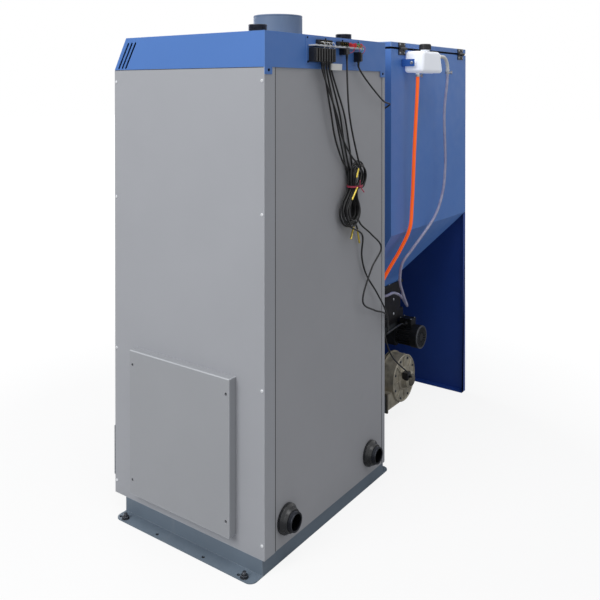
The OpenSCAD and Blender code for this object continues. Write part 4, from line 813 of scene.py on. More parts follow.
ROUTE_CLEAR = [
    (-850, 305, 1400), (-850, 304, 1372), (-846, 294, 1250), (-872, 286, 1030), (-860, 281, 925),
    (-815, 270, 835), (-690, 232, 716), (-650, 209, 664), (-664, 190, 596), (-724, 170, 528),
    (-806, 148, 452), (-836, 128, 446), (-824, 112, 478), (-770, 104, 504), (-726, 98, 502),
    (-720, 88, 500), (-720, 75, 500),
]

CABLE = 0.0058
CABLES = {
    # name: route, far end, lay, length of the brass sleeve on its end
    "cable_a": (ROUTE_A, "object", "coiled", 0),
    "cable_b": (ROUTE_B, "connector", "hanging", 46),
    "cable_c": (ROUTE_C, "object", "hanging", 0),
    "cable_d": (ROUTE_D, "connector", "hanging", 46),
    "cable_e": (ROUTE_E, "connector", "hanging", 28),
    "cable_f": (ROUTE_F, "connector", "hanging", 46),
    "cable_side": (ROUTE_SIDE, "object", "hanging", 0),
}


def sensor_tip(name, route, length):
    """Brass sleeve over the end of a sensor cable, with two crimped grooves and a round end."""
    o = turned(name, [
        (2.95, -3), (3.15, -2.4), (3.15, 3), (2.75, 4.2), (2.75, 5.4), (3.15, 6.6), (3.15, 10),
        (2.75, 11.2), (2.75, 12.4), (3.15, 13.6), (3.15, length - 3), (2.7, length - 1),
        (1.4, length),
    ], route[-1], Vector(route[-1]) - Vector(route[-2]), sides=20)
    smooth_by(o, 40)
    return wear(o, BRASS, "boiler", ["sensor_tips"])


def relief(name, at, along, length=16):
    """Tapered rubber sleeve with grooves where a cable leaves its plug."""
    root, tip, grooves = 4.5, 3.5, 4
    steps = [(root, 0), (root, 2)]
    for i in range(grooves):
        k = (i + 0.6) / grooves
        wide = root - (root - tip) * k
        z = 2 + (length - 3) * k
        steps += [(wide, z - 1.6), (wide - 0.55, z - 1.3), (wide - 0.55, z - 0.6), (wide, z - 0.3)]
    steps += [(tip, length - 0.4), (3.2, length), (2.85, length), (2.85, 0)]
    o = turned(name, steps, at, along, sides=24, through=True)
    smooth_by(o, 40)
    return wear(o, RUBBER, "boiler")


for name, (route, end, lay, tip_length) in CABLES.items():
    line = smooth_line(route, 0.004)
    cable = cord_curve(name, line, CABLE, SHEATH, ["cable_runs"])
    pieces = [relief(name + "_relief", route[0], (0, 0, -1))]
    if tip_length:
        pieces.append(sensor_tip(name + "_tip", route, tip_length))
    if name == "cable_a":
        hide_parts("cable_hank")
    if end == "object":
        back = Vector(route[-2]) - Vector(route[-1])
        pieces.append(relief(name + "_end_relief", route[-1], back, 14))

HOSES = [
    # name, route, diameter, finish, slot, CAD node
    ("hose_orange", ROUTE_ORANGE, 0.013, ORANGE_GLOWING, "orange_rubber", "orange_hose"),
    ("hose_clear", ROUTE_CLEAR, 0.011, CLEAR, "clear_plastic", "clear_hose"),
]
for name, route, diameter, finish, slot, node in HOSES:
    line = smooth_line(route)
    hose = cord_curve(name, line, diameter, finish, [node], 5)


LEAD = 0.0018


def lead(name, points, finish):
    """A thin free lead between two places on the boiler."""
    line = smooth_line(points, 0.002)
    o = cord_curve(name, line, LEAD, finish, (), 2)


for i, x in enumerate((86, 72, 58, 44, 30)):
    lead(f"socket_lead_{i}", [
        (x, 318, 1479), (x, 326, 1480), (x - 1, 333, 1478.5), (x - 2, 335.8, 1472), (x - 3, 335.6, 1466),
        (x - 3, 332, 1461), (x - 3, 326, 1460), (x - 3, 322, 1459),
    ], PALE_WIRE if i % 2 == 0 else GREY_WIRE)
lead("terminal_lead_right", [
    (-84, 320, 1478), (-84, 328, 1479), (-84, 334, 1475), (-83, 336, 1468), (-81, 335, 1460),
    (-74, 330, 1454), (-66, 325, 1453), (-58, 322, 1455),
], RED_WIRE)
lead("terminal_lead_middle", [
    (-114, 320, 1478), (-114, 328, 1479), (-114, 334, 1475), (-115, 336, 1468), (-118, 334, 1462),
    (-123, 328, 1459), (-128, 322, 1457.5), (-129, 318, 1456),
], RED_WIRE)
lead("terminal_lead_green", [
    (-134, 320, 1478), (-134, 328, 1479), (-134, 334, 1475), (-134, 336, 1468), (-133, 334, 1462),
    (-132.5, 328, 1459), (-132, 322, 1457.5), (-132, 318, 1456),
], GREEN_WIRE)
lead("terminal_lead_left", [
    (-150, 320, 1478), (-150, 328, 1479), (-150, 334, 1475), (-149, 336, 1468), (-147, 334, 1460),
    (-144, 329, 1453), (-140, 325, 1450), (-137, 322, 1449),
], RED_WIRE)


# Sheet metal and castings, from their CAD nodes

PAINTED = [
    # node, bend radius and cut edge in metres, finishes of faces and edges (the lighter edge finish is a
    # painted highlight), slot
    ("side_panel_right", 0.0026, 0.0005, [CASING, CASING_EDGE_HIGHLIGHT], "casing_grey"),
    ("side_panel_left", 0.0026, 0.0005, [CASING, CASING_EDGE_HIGHLIGHT], "casing_grey"),
    ("front_panel", 0.0020, 0.0005, [CASING, CASING_EDGE_HIGHLIGHT], "casing_grey"),
    ("rear_panel", 0.0020, 0.0005, [REAR_GREY_SHADED, CASING_EDGE_HIGHLIGHT], "rear_grey"),
    ("side_cover", 0.0026, 0.0005, [COVER, CASING_EDGE_HIGHLIGHT], "casing_grey"),
    ("hood", 0.0026, 0.0004, [HOOD, HOOD_EDGE_HIGHLIGHT], "hood_blue"),
    ("connection_plate", 0.0010, 0.0004, [PLATE, HOOD_EDGE_HIGHLIGHT], "plate_blue"),
    ("hopper_bin", 0.0020, 0.0005, [HOPPER, HOPPER_EDGE_HIGHLIGHT], "hopper_blue"),
    ("hopper_casing", 0.0020, 0.0005, [NAVY, NAVY_EDGE_HIGHLIGHT], "hopper_navy"),
    ("hopper_lid", 0.0026, 0.0005, [LID, HOPPER_EDGE_HIGHLIGHT], "lid_blue"),
    ("tank_bracket", 0.0016, 0.0004, [BRACKET, BRACKET], "plate_blue"),
    ("furnace_door", 0.0030, 0.0010, [DOOR], "door_paint"),
    ("cleaning_door", 0.0030, 0.0010, [DOOR], "door_paint"),
    ("ash_drawer", 0.0026, 0.0006, [DOOR], "door_paint"),
    ("burner", 0.0026, 0.0008, [BURNER], "burner_steel"),
    ("blower_duct", 0.0016, 0.0005, [BURNER], "burner_steel"),
    ("drop_box", 0.0020, 0.0006, [DROP], "burner_steel"),
    ("boiler_vessel", 0.0030, 0.0010, [SOOT], "vessel_steel"),
    ("door_hinge_pins", 0.0010, 0.0006, [BOLT], "bolt_steel"),
    ("control_housing", 0.0020, 0.0006, [BLACK], "plug_plastic"),
    ("gearbox", 0.0030, 0.0012, [CAST_BLACK], "gearbox_iron"),
    ("lid_hinge_brackets", 0.0006, 0.0004, [BLACK], "plug_plastic"),
    ("lid_hinge_leaves", 0.0006, 0.0004, [BLACK], "plug_plastic"),
    ("blower_housing", 0.0024, 0.0008, [CAST_GREY], "blower_cast"),
    ("gear_motor", 0.0010, 0.0006, [MOTOR], "motor_paint"),
    ("motor_cowl", 0.0010, 0.0005, [MOTOR], "motor_paint"),
]
shaped = {row[0]: edge_worked(*row) for row in PAINTED}
edge_worked("base_frame", 0.0040, 0.0006, [BASE, BASE_EDGE_HIGHLIGHT], "base_paint", root=0.006)

# Nodes that are shown as the CAD has them
KEPT = {
    "feeder_tube": BURNER,
    "feeder_auger": STEEL,
    "motor_fan": FAN,
    "blower_impeller": STEEL,
}
for node, finish in KEPT.items():
    painted(NODES[node], finish)

painted_where(shaped["blower_housing"], CAST_DARK, lambda c, n: 90 < c.y < 96.5 and abs(n.y) < 0.5)

SEAM_SHADOW = moulded("joint_shadow", "1C1D20", 0.8)
seam_shadow_strips = [
    # dark strips as painted shadow in the gaps beside the two returns on the rear, and under the hood's two
    # sides
    block("joint", (283.0, 302.8, 47), (287.9, 303.3, 1399)),
    block("joint", (-317.9, 302.8, 47), (-316.8, 303.3, 1399)),
    block("joint", (335.6, -302, 1398.2), (336.25, 303, 1399.7)),
    block("joint", (-336.25, -302, 1398.2), (-335.6, 303, 1399.7)),
]
wear(painted(joined("joint_lines", seam_shadow_strips), SEAM_SHADOW), SEAM_SHADOW, body_of("rear_panel"))


# Screws and bolts, where the CAD has them

WIDE_HEAD = 10.5  # heads wider than this are the drop box's
LONG_SCREW = 15  # screws longer than this along X show their shank
SMALL_R, SMALL_DOME = 3, 1.7
casing_screw = screw("screw_pattern", 4.5, 2.48)
wide_screw = screw("wide_screw_pattern", 6, 3.3)
heads = []
for low, high in solids("casing_screws"):
    middle = (low + high) / 2
    if high.z - low.z > WIDE_HEAD:
        head = place(copied(wide_screw, "drop_screw"), (middle.x, low.y, middle.z), (0, 1, 0))
        wear(painted(head, ZINC), ZINC, body_of("casing_screws"), ["casing_screws"])
    elif middle.x > 0:
        heads.append(place(copied(casing_screw, "s"), (low.x, middle.y, middle.z), (1, 0, 0)))
    else:
        heads.append(place(copied(casing_screw, "s"), (high.x, middle.y, middle.z), (-1, 0, 0)))
wear(painted(joined("panel_screws", heads), WHITE_SCREW), WHITE_SCREW, body_of("casing_screws"),
     ["casing_screws"])

small_screw = screw("small_screw_pattern", SMALL_R, SMALL_DOME)
heads = []
for low, high in solids("black_screws"):
    middle = (low + high) / 2
    if high.x - low.x > LONG_SCREW:
        shank = turned("s", [(3.2, 0), (3.2, 17), (4, 17.2), (4, 22), (3.6, 23)],
                       (low.x, middle.y, middle.z), (1, 0, 0), sides=24)
        key = turned("key", [(2, 20), (2, 24)], (low.x, middle.y, middle.z), (1, 0, 0), sides=6)
        heads.append(smooth_by(cut_by(shank, key), 40))
    else:
        head = copied(small_screw, "s")
        k = (high.x - low.x) / (2 * SMALL_R)
        head.scale = (k, k, (high.y - low.y) / SMALL_DOME)
        settled(head)
        heads.append(place(head, (middle.x, low.y, middle.z), (0, 1, 0)))
wear(painted(joined("dark_screws", heads), BLACK_SCREW), BLACK_SCREW, body_of("black_screws"),
     ["black_screws"])

anchors = []
for low, high in solids("levelling_bolts"):
    x, y = (low.x + high.x) / 2, (low.y + high.y) / 2
    thread = [(5.2, 0), (5.9, 0.6)]
    for i in range(11):
        z = 0.8 + 1.6 * i
        thread += [(5.9, z + 0.2), (5.2, z + 0.7), (5.9, z + 1.2)]
    anchors.append(turned("stud", thread + [(5.2, 19)], (x, y, 0), sides=24))
    nut = turned("nut", [(9.7, 4.4), (10.4, 5.0), (10.4, 10.4), (9.6, 11)], (x, y, 0), sides=6)
    anchors.append(nut)
    anchors.append(turned("washer", [(12, 3), (12, 4.1), (11.6, 4.4), (6, 4.4)], (x, y, 0), sides=40))
anchors = joined("anchor_bolts", anchors)
dressed(anchors, 30, BOLT, "levelling_bolts", True)
for pattern in (casing_screw, wide_screw):
    bpy.data.objects.remove(pattern)


def hex_bolts(name, spots, along, size, finish, body):
    """Hexagon bolt heads with washers, standing on their spots."""
    parts = []
    for at in spots:
        parts.append(turned("b", [
            (size * 1.25, 0), (size * 1.25, size * 0.22), (size * 0.6, size * 0.22),
        ], at, along, sides=28))
        parts.append(turned("b", [
            (size, size * 0.2), (size, size * 0.78), (size * 0.86, size * 0.92),
        ], at, along, sides=6))
    o = smooth_by(joined(name, parts), 30)
    return wear(o, finish, body)


# Flue, water stubs and their rubber rosettes

FLUE_X, FLUE_Y = -5, 92
flue = turned("flue_stack", [
    (79.0, 1170), (79.0, 1502.4), (79.7, 1503.2), (79.7, 1569), (78.9, 1570), (78.9, 1571.4),
    (79.7, 1572.4), (79.7, 1576.2), (79.1, 1577), (77.4, 1577), (76.7, 1576.2), (76.7, 1170),
], (FLUE_X, FLUE_Y, 0), sides=128, through=True)
painted(flue, FLUE)
painted_where(flue, SOOT_INSIDE, lambda c, n: (c.x - FLUE_X) * n.x + (c.y - FLUE_Y) * n.y < -40)
dressed(flue, 35, FLUE, "flue_pipe", True)

stubs = []
for low, high in solids("pipe_stubs"):
    x = (low.x + high.x) / 2
    rising = high.z - low.z > 100
    length = high.z - low.z if rising else high.y - low.y
    steps = [(27.7, 0), (27.7, length - 27)]
    for i in range(9):
        z = length - 26 + i * 2.6
        steps += [(27.7, z), (26.7, z + 1.1), (26.7, z + 1.4), (27.7, z + 2.5)]
    steps += [(27.7, length - 1.4), (26.9, length), (23.2, length), (22.5, length - 0.8), (22.5, 0)]
    if rising:
        at, along = (x, (low.y + high.y) / 2, low.z), (0, 0, 1)
    else:
        at, along = (x, low.y, (low.z + high.z) / 2), (0, 1, 0)
    stubs.append(turned("stub", steps, at, along, sides=64, through=True))
dressed(joined("water_stubs", stubs), 40, STUB, "pipe_stubs", True)

rosettes = []
for low, high in solids("pipe_rosettes"):
    at = ((low.x + high.x) / 2, low.y, (low.z + high.z) / 2)
    rosettes.append(turned("rosette", [
        (41.6, 0), (42.4, 0.8), (42.4, 4.2), (41.9, 4.6), (41.9, 5.0), (42.4, 5.4), (42.4, 8.4),
        (41.8, 9.8), (38.6, 13.4), (37.2, 14.9), (36.2, 17), (33.2, 24), (32.2, 25.4), (31, 26),
        (29.2, 26), (28.1, 25), (28.1, 0),
    ], at, (0, 1, 0), sides=80, through=True))
dressed(joined("rubber_rosettes", rosettes), 34, RUBBER, "pipe_rosettes", True)


# Connection plate: strip, sockets, plugs, terminals and the paper flag

low, high = corners("connector_strip")
strip = block("strip", low, high)
pushed(strip, lambda c, n: n.y > 0.9, (1.2, -1.0))
rounded(strip, 0.5, 2)
clips = [strip]
for i in range(11):
    x = low.x + 12 + i * (high.x - low.x - 24) / 10
    clip = block("clip", (x - 3, high.y - 4, high.z - 0.2), (x + 3, high.y, high.z + 1.2))
    clips.append(rounded(clip, 0.4))
dressed(joined("cable_strip", clips), 32, STRIP, "connector_strip", True)

sockets, pins = [], []
for low, high in solids("socket_blocks"):
    body = block("socket", (low.x, high.y - 15, low.z), (high.x, high.y, high.z))
    pushed(body, lambda c, n: n.y > 0.9, (2.2, -9.5))
    rounded(body, 0.5, 2)
    sockets.append(body)
    back = block("socket_back", (low.x + 2.4, low.y, low.z + 2.4),
                 (high.x - 2.4, high.y - 14, high.z - 2.4))
    sockets.append(rounded(back, 0.6))
    ways = round((high.x - low.x) / 10)
    for i in range(ways):
        x = low.x + (i + 0.5) * (high.x - low.x) / ways
        middle = (low.z + high.z) / 2
        for z in (middle - 2.5, middle + 2.5):
            pin = block("pin", (x - 0.8, high.y - 10, z - 0.8), (x + 0.8, high.y - 2.5, z + 0.8))
            pins.append(rounded(pin, 0.3, 1))
        if i < ways - 1:
            rib = block("rib", (x + 4.5, high.y - 9.8, low.z + 2), (x + 5.5, high.y - 0.6, high.z - 2))
            sockets.append(rounded(rib, 0.2, 1))
dressed(joined("socket_row", sockets), 32, BLACK, "socket_blocks", True)
pins = smooth_by(joined("socket_pins", pins))
wear(painted(pins, BRASS), BRASS, body_of("socket_blocks"))


def plug(low, high):
    """Cable plug: a body with a stepped front, three grips and a latch."""
    o = block("plug", low, (high.x, high.y - 6, high.z))
    pushed(o, lambda c, n: n.y > 0.9, (1.0, 0), (0, 1.4), (0.6, 4.6))
    rounded(o, 0.5, 2)
    parts = [o]
    for i in range(3):
        z = low.z + 7.5 + i * 6.5
        grip = block("grip", (low.x + 1.8, high.y - 0.6, z), (high.x - 1.8, high.y + 0.5, z + 2.6))
        parts.append(rounded(grip, 0.5, 2))
    middle = (low.x + high.x) / 2
    latch = block("latch", (middle - 2, high.y - 3, high.z - 9), (middle + 2, high.y - 1.2, high.z - 1.5))
    parts.append(rounded(latch, 0.6, 2))
    return joined("plug", parts)


plugs = joined("cable_plug_row", [plug(low, high) for low, high in solids("cable_plugs")])
dressed(plugs, 32, BLACK, "cable_plugs", True)


def terminals(node, finish):
    """Screw terminals: a rounded block with a well, the screw in it and a release lever."""
    bodies, wells = [], []
    for low, high in solids(node):
        o = block("terminal", low, high)
        pushed(o, lambda c, n: n.y > 0.9, (0.8, 0.01), (1.6, -4))
        rounded(o, 0.5, 2)
        x = (low.x + high.x) / 2
        lever = block("lever", (x - 1.8, high.y - 3, high.z - 1), (x + 1.8, high.y + 0.4, high.z + 1.6))
        bodies += [o, rounded(lever, 0.5, 2)]
        well = copied(small_screw, "well")
        wells.append(place(well, (x, high.y - 4.1, (low.z + high.z) / 2), (0, 1, 0)))
    o = smooth_by(joined(node + "_row", bodies))
    wear(o, finish, body_of(node), [node])
    return painted(joined(node + "_wells", wells), ZINC)


for colour, finish in (("red", RED), ("green", GREEN)):
    node = colour + "_terminals"
    wear(terminals(node, finish), ZINC, body_of(node))
bpy.data.objects.remove(small_screw)

flag = block("paper_flag", (-31, 321.6, 1397), (24, 322.1, 1417))
opened(flag, "EDGE")
ops.mesh.subdivide(number_cuts=7)
bm = bmesh.from_edit_mesh(flag.data)
for v in bm.verts:
    x, z = v.co.x * 1000, v.co.z * 1000
    v.co.y += (3.2 * math.sin((x + 31) / 55 * math.pi) ** 2 + 0.05 * (z - 1407) + 0.9) / 1000
bmesh.update_edit_mesh(flag.data)
done(flag)
wrap = turned("wrap", [(3.5, 0), (3.5, 20), (3.0, 20), (3.0, 0)], (27, 321.5, 1397),
              sides=24, through=True)
flag = smooth_by(joined("paper_flag", [flag, wrap]), 50)
wear(flag, PAPER, "boiler")


# Tie round the hank's waist

TIE_LEAN = math.radians(-24)
TIE_STRETCH = 1.42
band = turned("band", [(22, -3), (22.6, -2.5), (22.6, 2.5), (22, 3), (21, 3), (21, -3)],
              sides=64, through=True)
band.scale = (TIE_STRETCH, 1, 1)
settled(band)
band.rotation_euler = (0, TIE_LEAN, 0)
band.location = (-0.1015, 0.3262, 1.0305)
settled(band)
knot = turned("knot", [(2, 0), (3.6, 1.2), (3.9, 3), (3.4, 5), (1.8, 6.2)], (-94, 347.6, 1032),
              (0.3, 1, 0.1), sides=24)
tails = [
    turned("tail", [(1.5, 0), (1.9, 3), (1.7, length * 0.6), (1.9, length - 2), (1.2, length)],
           (-94, 350, 1032), way, sides=12)
    for way, length in (((0.55, 0.35, 0.7), 30), ((-0.4, 0.4, -0.8), 24))
]
tie = smooth_by(joined("hank_tie", [band, knot, *tails]), 50)
wear(tie, TIE, "boiler")


# Water tank with its cap, elbow and hose clips

TANK_MID_X, TANK_MID_Z = -679, 1450
SEAM = (284.2, 285.4)
CAP_AT = (-660, 299.3, 0)
BOSS_AT = Vector((-604, 284.3, 1439))
ELBOW_TOP, ELBOW_FOOT, ELBOW_R = Vector((-756, 305.3, 1468)), Vector((-850, 305.3, 1423)), 45
ORANGE_TOP = Vector(ROUTE_ORANGE[0])

shell = block("tank_shell", (-768, 244.3, 1402), (-590, 325.3, 1484))
nudged(shell, lambda c: c.z > TANK_MID_Z and c.x < TANK_MID_X, (23, 0, 0))
nudged(shell, lambda c: c.z > TANK_MID_Z and c.x > TANK_MID_X, (-10, 0, 0))
rounded(shell, 13, 7)
for y in SEAM:
    split(shell, (0, y, 0), (0, 1, 0))
pick_faces(shell, lambda c, n: SEAM[0] < c.y < SEAM[1] and abs(n.y) < 0.3)
ops.mesh.extrude_region_shrink_fatten(
    MESH_OT_extrude_region={}, TRANSFORM_OT_shrink_fatten={"value": 0.0007}
)
done(shell)
tank_parts = [
    shell,
    turned("neck", [
        (19, 1478), (18, 1482), (17, 1484), (17, 1486), (16.2, 1486.6), (16.2, 1488), (17, 1488.6),
        (17, 1490.6), (16.2, 1491.2), (16.2, 1492.6), (17, 1493.2), (17, 1501), (16.2, 1502),
    ], CAP_AT, sides=48),
    turned("boss", [(13, 0), (11, 3), (9, 6), (9, 25), (8.4, 26)], BOSS_AT, (1, 0, 0), sides=40),
    turned("outlet", [
        (13, -2), (11.5, 1), (10, 3), (10, 12), (9.2, 14), (7.6, 14),
    ], ELBOW_TOP + Vector((2, 0, 0)), (-1, 0, 0), sides=40),
    turned("hose_spigot", [(9, 0), (8, 3), (6.8, 5), (6.8, 12), (6.2, 13)], ORANGE_TOP + over(3),
           (0, 0, -1), sides=32),
]
dressed(joined("water_tank_shell", tank_parts), 36, TANK_GLOWING, "water_tank", True)

cap = turned("cap", [
    (20.4, 1490), (21.6, 1490.8), (21.6, 1508.6), (20.8, 1510.6), (19.2, 1511.7), (17, 1512),
    (15.6, 1511.4), (9, 1511.2), (7.6, 1511.9), (2, 1512),
], CAP_AT, sides=72)
rib = rounded(block("rib", (-661.1, 320.4, 1490.6), (-658.9, 322.2, 1509.2)), 0.7, 2)
cap = joined("ribbed_cap", [cap, ringed(rib, "ribs", 24, CAP_AT, (0, 0, 1))])
dressed(cap, 36, CAP, "tank_cap", True)

straight = ELBOW_TOP.x - ELBOW_FOOT.x - ELBOW_R
bend = [ELBOW_TOP - Vector((straight * i / 3, 0, 0)) for i in range(4)]
for i in range(1, 15):
    a = math.radians(90 * i / 14)
    bend.append(ELBOW_FOOT + ELBOW_R * Vector((1 - math.sin(a), 0, math.cos(a))))
bend += [ELBOW_FOOT + over(-8), ELBOW_FOOT + over(-19)]
elbow = cord_curve("elbow_bend", [p / 1000 for p in bend], 0.014, ELBOW, (), 7)
only(elbow)
ops.object.convert(target="MESH")
elbow = bpy.context.object
collars = [
    turned("collar", [(8.6, 0), (9.4, 0.8), (9.4, 6.2), (8.6, 7), (7.6, 7)],
           ELBOW_TOP - Vector((12, 0, 0)), (-1, 0, 0), sides=40),
    turned("collar", [(7.9, 0), (8.5, 0.6), (8.5, 4.4), (7.9, 5), (7, 5)],
           ELBOW_FOOT + over(-4), (0, 0, -1), sides=40),
    turned("hose_end", [(6, 0), (7, 1), (7, 12), (6.2, 14)], ELBOW_FOOT + over(-9), (0, 0, -1), sides=32),
]
elbow = joined("tank_elbow_pipe", [elbow, *[painted(c, ELBOW) for c in collars]])
dressed(elbow, 40, ELBOW, "tank_elbow", True)


def hose_clip(name, centre, radius, body):
    """Worm-drive hose clip: a ribbed band, a housing and a wing screw."""
    c = Vector(centre)
    band = turned("band", [
        (radius + 0.9, -4.4), (radius + 1.3, -4), (radius + 1.3, 4), (radius + 0.9, 4.4), (radius, 4.4),
        (radius, -4.4),
    ], c, sides=48, through=True)
    rib = rounded(block("rib", (c.x - 0.7, c.y + radius + 0.9, c.z - 2.6),
                        (c.x + 0.7, c.y + radius + 1.7, c.z + 2.6)), 0.3, 1)
    ribs = ringed(rib, "ribs", 22, c, (0, 0, 1))
    housing = block("housing", (c.x - radius - 7, c.y - 4, c.z - 4.8),
                    (c.x - radius - 0.6, c.y + 5, c.z + 4.8))
    rounded(housing, 1.4, 3)
    worm = turned("worm", [(2.2, 0), (2.2, 5), (3.4, 5.6), (3.4, 8), (2.8, 9)],
                  (c.x - radius - 3.8, c.y + 4, c.z), (0, 1, 0), sides=24)
    wing = block("wing", (c.x - radius - 4.5, c.y + 9, c.z - 6.5),
                 (c.x - radius - 3.1, c.y + 16, c.z + 6.5))
    pushed(wing, lambda p, n: n.z > 0.9, (0, 1.2))
    rounded(wing, 0.6, 2)
    o = smooth_by(joined(name, [band, ribs, housing, worm, wing]), 36)
    return wear(painted(o, ZINC), ZINC, body)


hose_clip("clear_hose_clip", ELBOW_FOOT + over(-17), 7.3, body_of("tank_elbow"))
hose_clip("orange_hose_clip", ORANGE_TOP + over(-11), 6.7, "boiler")
for name, route, r in (("orange_hose_socket", ROUTE_ORANGE, 6.3), ("clear_hose_socket", ROUTE_CLEAR, 5.3)):
    socket = turned(name, [
        (r + 6, -2), (r + 6, 0.5), (r + 5, 1.4), (r + 3.2, 2), (r + 3.2, 11), (r + 2.4, 12), (r, 12),
        (r, -2),
    ], Vector(route[-1]) + Vector((0, 2, 0)), (0, 1, 0), sides=40, through=True)
    smooth_by(socket, 36)
    wear(socket, RUBBER, "boiler")
hex_bolts("bracket_bolts", [(-730, 244, 1439), (-585, 244, 1439)], (0, 1, 0), 4, ZINC,
          body_of("tank_bracket"))
hex_bolts("boss_screw", [BOSS_AT + Vector((27, 0, 0))], (1, 0, 0), 5, ZINC,
          body_of("tank_bracket"))


# Hopper: hinge screws, lid handle and foam seal

HINGES_X = (-578, -1119)
for name, z, size, node in (
    ("hinge_bracket_screws", 1476.5, 3.2, "lid_hinge_brackets"),
    ("hinge_leaf_screws", 1508, 3.0, "lid_hinge_leaves"),
):
    spots = [(x + s * 18, 244.5, z) for x in HINGES_X for s in (-1, 1)]
    hex_bolts(name, spots, (0, 1, 0), size, ZINC, body_of(node))

PULL_X, PULL_Z = -839.5, 1506.5
bar = turned("bar", [
    (5, -73), (6.6, -71.6), (7, -70), (7, 70), (6.6, 71.6), (5, 73),
], (PULL_X, -333, PULL_Z), (1, 0, 0), sides=40)
posts = [turned("post", [(8, 0), (8, 1.4), (5.6, 2.6), (5, 4), (5, 20), (6, 24), (6, 26)],
                (PULL_X + s * 65, -307, PULL_Z), (0, -1, 0), sides=32) for s in (-1, 1)]
dressed(joined("lid_pull", [bar, *posts]), 40, HANDLE, "lid_handle", True)

foam = ring_of("lid_foam", *corners("lid_seal"), 12, 2)
rounded(foam, 3.2, 4)
dressed(foam, 50, FOAM, "lid_seal", True)


# Doors: seal ropes and lever handles

x, hub = -228, -337.3  # both levers' axis and the back of their hubs
for door, z in (("furnace", 451), ("cleaning", 1015)):
    node = door + "_seal"
    rope = ring_of(door + "_rope", *corners(node), 15.6, 1)
    rounded(rope, 3.0, 4)
    smooth_by(rope, 50)
    wear(rope, ROPE, body_of(node), [node])

    node = door + "_handle"
    hub_disc = turned("hub", [
        (14, 0), (14, 20), (13.2, 23.4), (11.6, 25.4), (9, 26), (5.4, 26), (5, 25.6), (5, 21),
    ], (x, hub, z), (0, -1, 0), sides=48)
    spindle = turned("spindle", [(6.4, -9), (7, -8.4), (7, 25), (7, 42)], (x, hub, z), (0, 1, 0), sides=32)
    key = turned("key", [(4.1, 18), (4.1, 23.4), (3.4, 24)], (x, hub, z), (0, -1, 0), sides=6)
    arm = block("arm", (x - 8, hub - 24, z - 44), (x + 8, hub - 14, z - 4))
    rounded(arm, 2.6, 4)
    grip = turned("grip", [
        (9, -34), (10, -36), (10.2, -40), (9.6, -44), (10.4, -50), (12.2, -80), (13, -112), (12.2, -117.4),
        (10, -121.6), (6.6, -124.2), (3, -125),
    ], (x, hub - 19, z), sides=48)
    tongue = block("tongue", (x - 8, -298, z - 45), (x + 8, -292, z + 8))
    rounded(tongue, 1.2, 2)
    lever = smooth_by(joined(door + "_lever", [
        painted(hub_disc, HANDLE), painted(arm, HANDLE), painted(grip, HANDLE),
        painted(spindle, BOLT), painted(key, BOLT), painted(tongue, BOLT),
    ]), 40)
    wear(lever, HANDLE, body_of(node), [node])


# Control panel, on the hood's slanted front

SLOPE_OUT = Vector((0, -100, 54)).normalized()
SLOPE_UP = Vector((0, 54, 100)).normalized()
PANEL_AT = (0, -0.278, 1.450)
KNOB_AT = (40, 0, 0)


def on_slope(o):
    """Moves a piece made flat on Z = 0 onto the hood's slanted front."""
    o.matrix_world = Matrix.Translation(PANEL_AT) @ Matrix((
        (1, 0, 0), (0, SLOPE_UP.y, SLOPE_OUT.y), (0, SLOPE_UP.z, SLOPE_OUT.z),
    )).to_4x4()
    return settled(o)


window = block("window", (-87.7, -24.7, 7), (3.7, 24.7, 9.2))
pushed(window, lambda c, n: n.z > 0.9, (3.2, 0.01), (0.6, -0.8))
rounded(window, 0.3, 1)
window = on_slope(smooth_by(window))
wear(window, GLASS, body_of("display_window"), ["display_window"])
knob = turned("knob", [
    (3, -3), (3, 10.3), (15.4, 10.3), (15.6, 12), (15.0, 14), (14.2, 23.4), (13.4, 24.8), (12, 25.3),
    (9.6, 25.0), (9, 24.6),
], KNOB_AT, sides=64)
grip = rounded(block("grip", (39.1, 13.2, 12), (40.9, 16, 23)), 0.6, 2)
mark = rounded(block("mark", (39.3, 5, 24.2), (40.7, 12.6, 25.6)), 0.3, 1)
knob = smooth_by(joined("turned_knob", [
    painted(knob, KNOB), painted(ringed(grip, "grips", 20, KNOB_AT, (0, 0, 1)), KNOB),
    painted(mark, BLACK),
]), 36)
wear(on_slope(knob), KNOB, body_of("selector_knob"), ["selector_knob"])
rocker = block("rocker", (69, -12, -5), (87, 12, 9))
nudged(rocker, lambda c: c.z > 0 and c.y < 0, over(5))
split(rocker, (0, 0, 0), (0, 1, 0))
nudged(rocker, lambda c: abs(c.y) < 0.5 and c.z > 5, over(-2.6))
rounded(rocker, 0.8, 3)
wear(on_slope(smooth_by(rocker, 40)), ROCKER, body_of("power_switch"), ["power_switch"])
ring = ring_of("rocker_frame", (66.5, -18.4, 9.6), (89.5, 18.4, 11.4), 2.4, 2)
ring = on_slope(smooth_by(rounded(ring, 0.6, 2)))
wear(ring, BLACK, body_of("control_housing"))
ticks = []
for i in range(11):
    a = math.radians(-135 + 27 * i)
    tick = rounded(block("tick", (-0.5, 19, 9.9), (0.5, 22.5, 10.4)), 0.15, 1)
    tick.rotation_euler = (0, 0, -a)
    tick.location = Vector(KNOB_AT) / 1000
    ticks.append(settled(tick))
ticks = on_slope(smooth_by(joined("knob_ticks", ticks)))
wear(ticks, STRIP, body_of("control_housing"))


# Gear motor, blower and feeder

FEED_Z = 335
BLOWER_AT = Vector((-775, 150, 164))


def round_spots(centre, radius, angles, across):
    """Spots on a circle round the centre, in the plane across X or Y."""
    spots = []
    for a in angles:
        u, w = radius * math.cos(a), radius * math.sin(a)
        spots.append(Vector(centre) + Vector((0, u, w) if across == "X" else (u, 0, w)))
    return spots


def even_angles(count, first):
    """Angles that go once round from the first one, which is given in degrees."""
    return [math.radians(first + 360 / count * i) for i in range(count)]


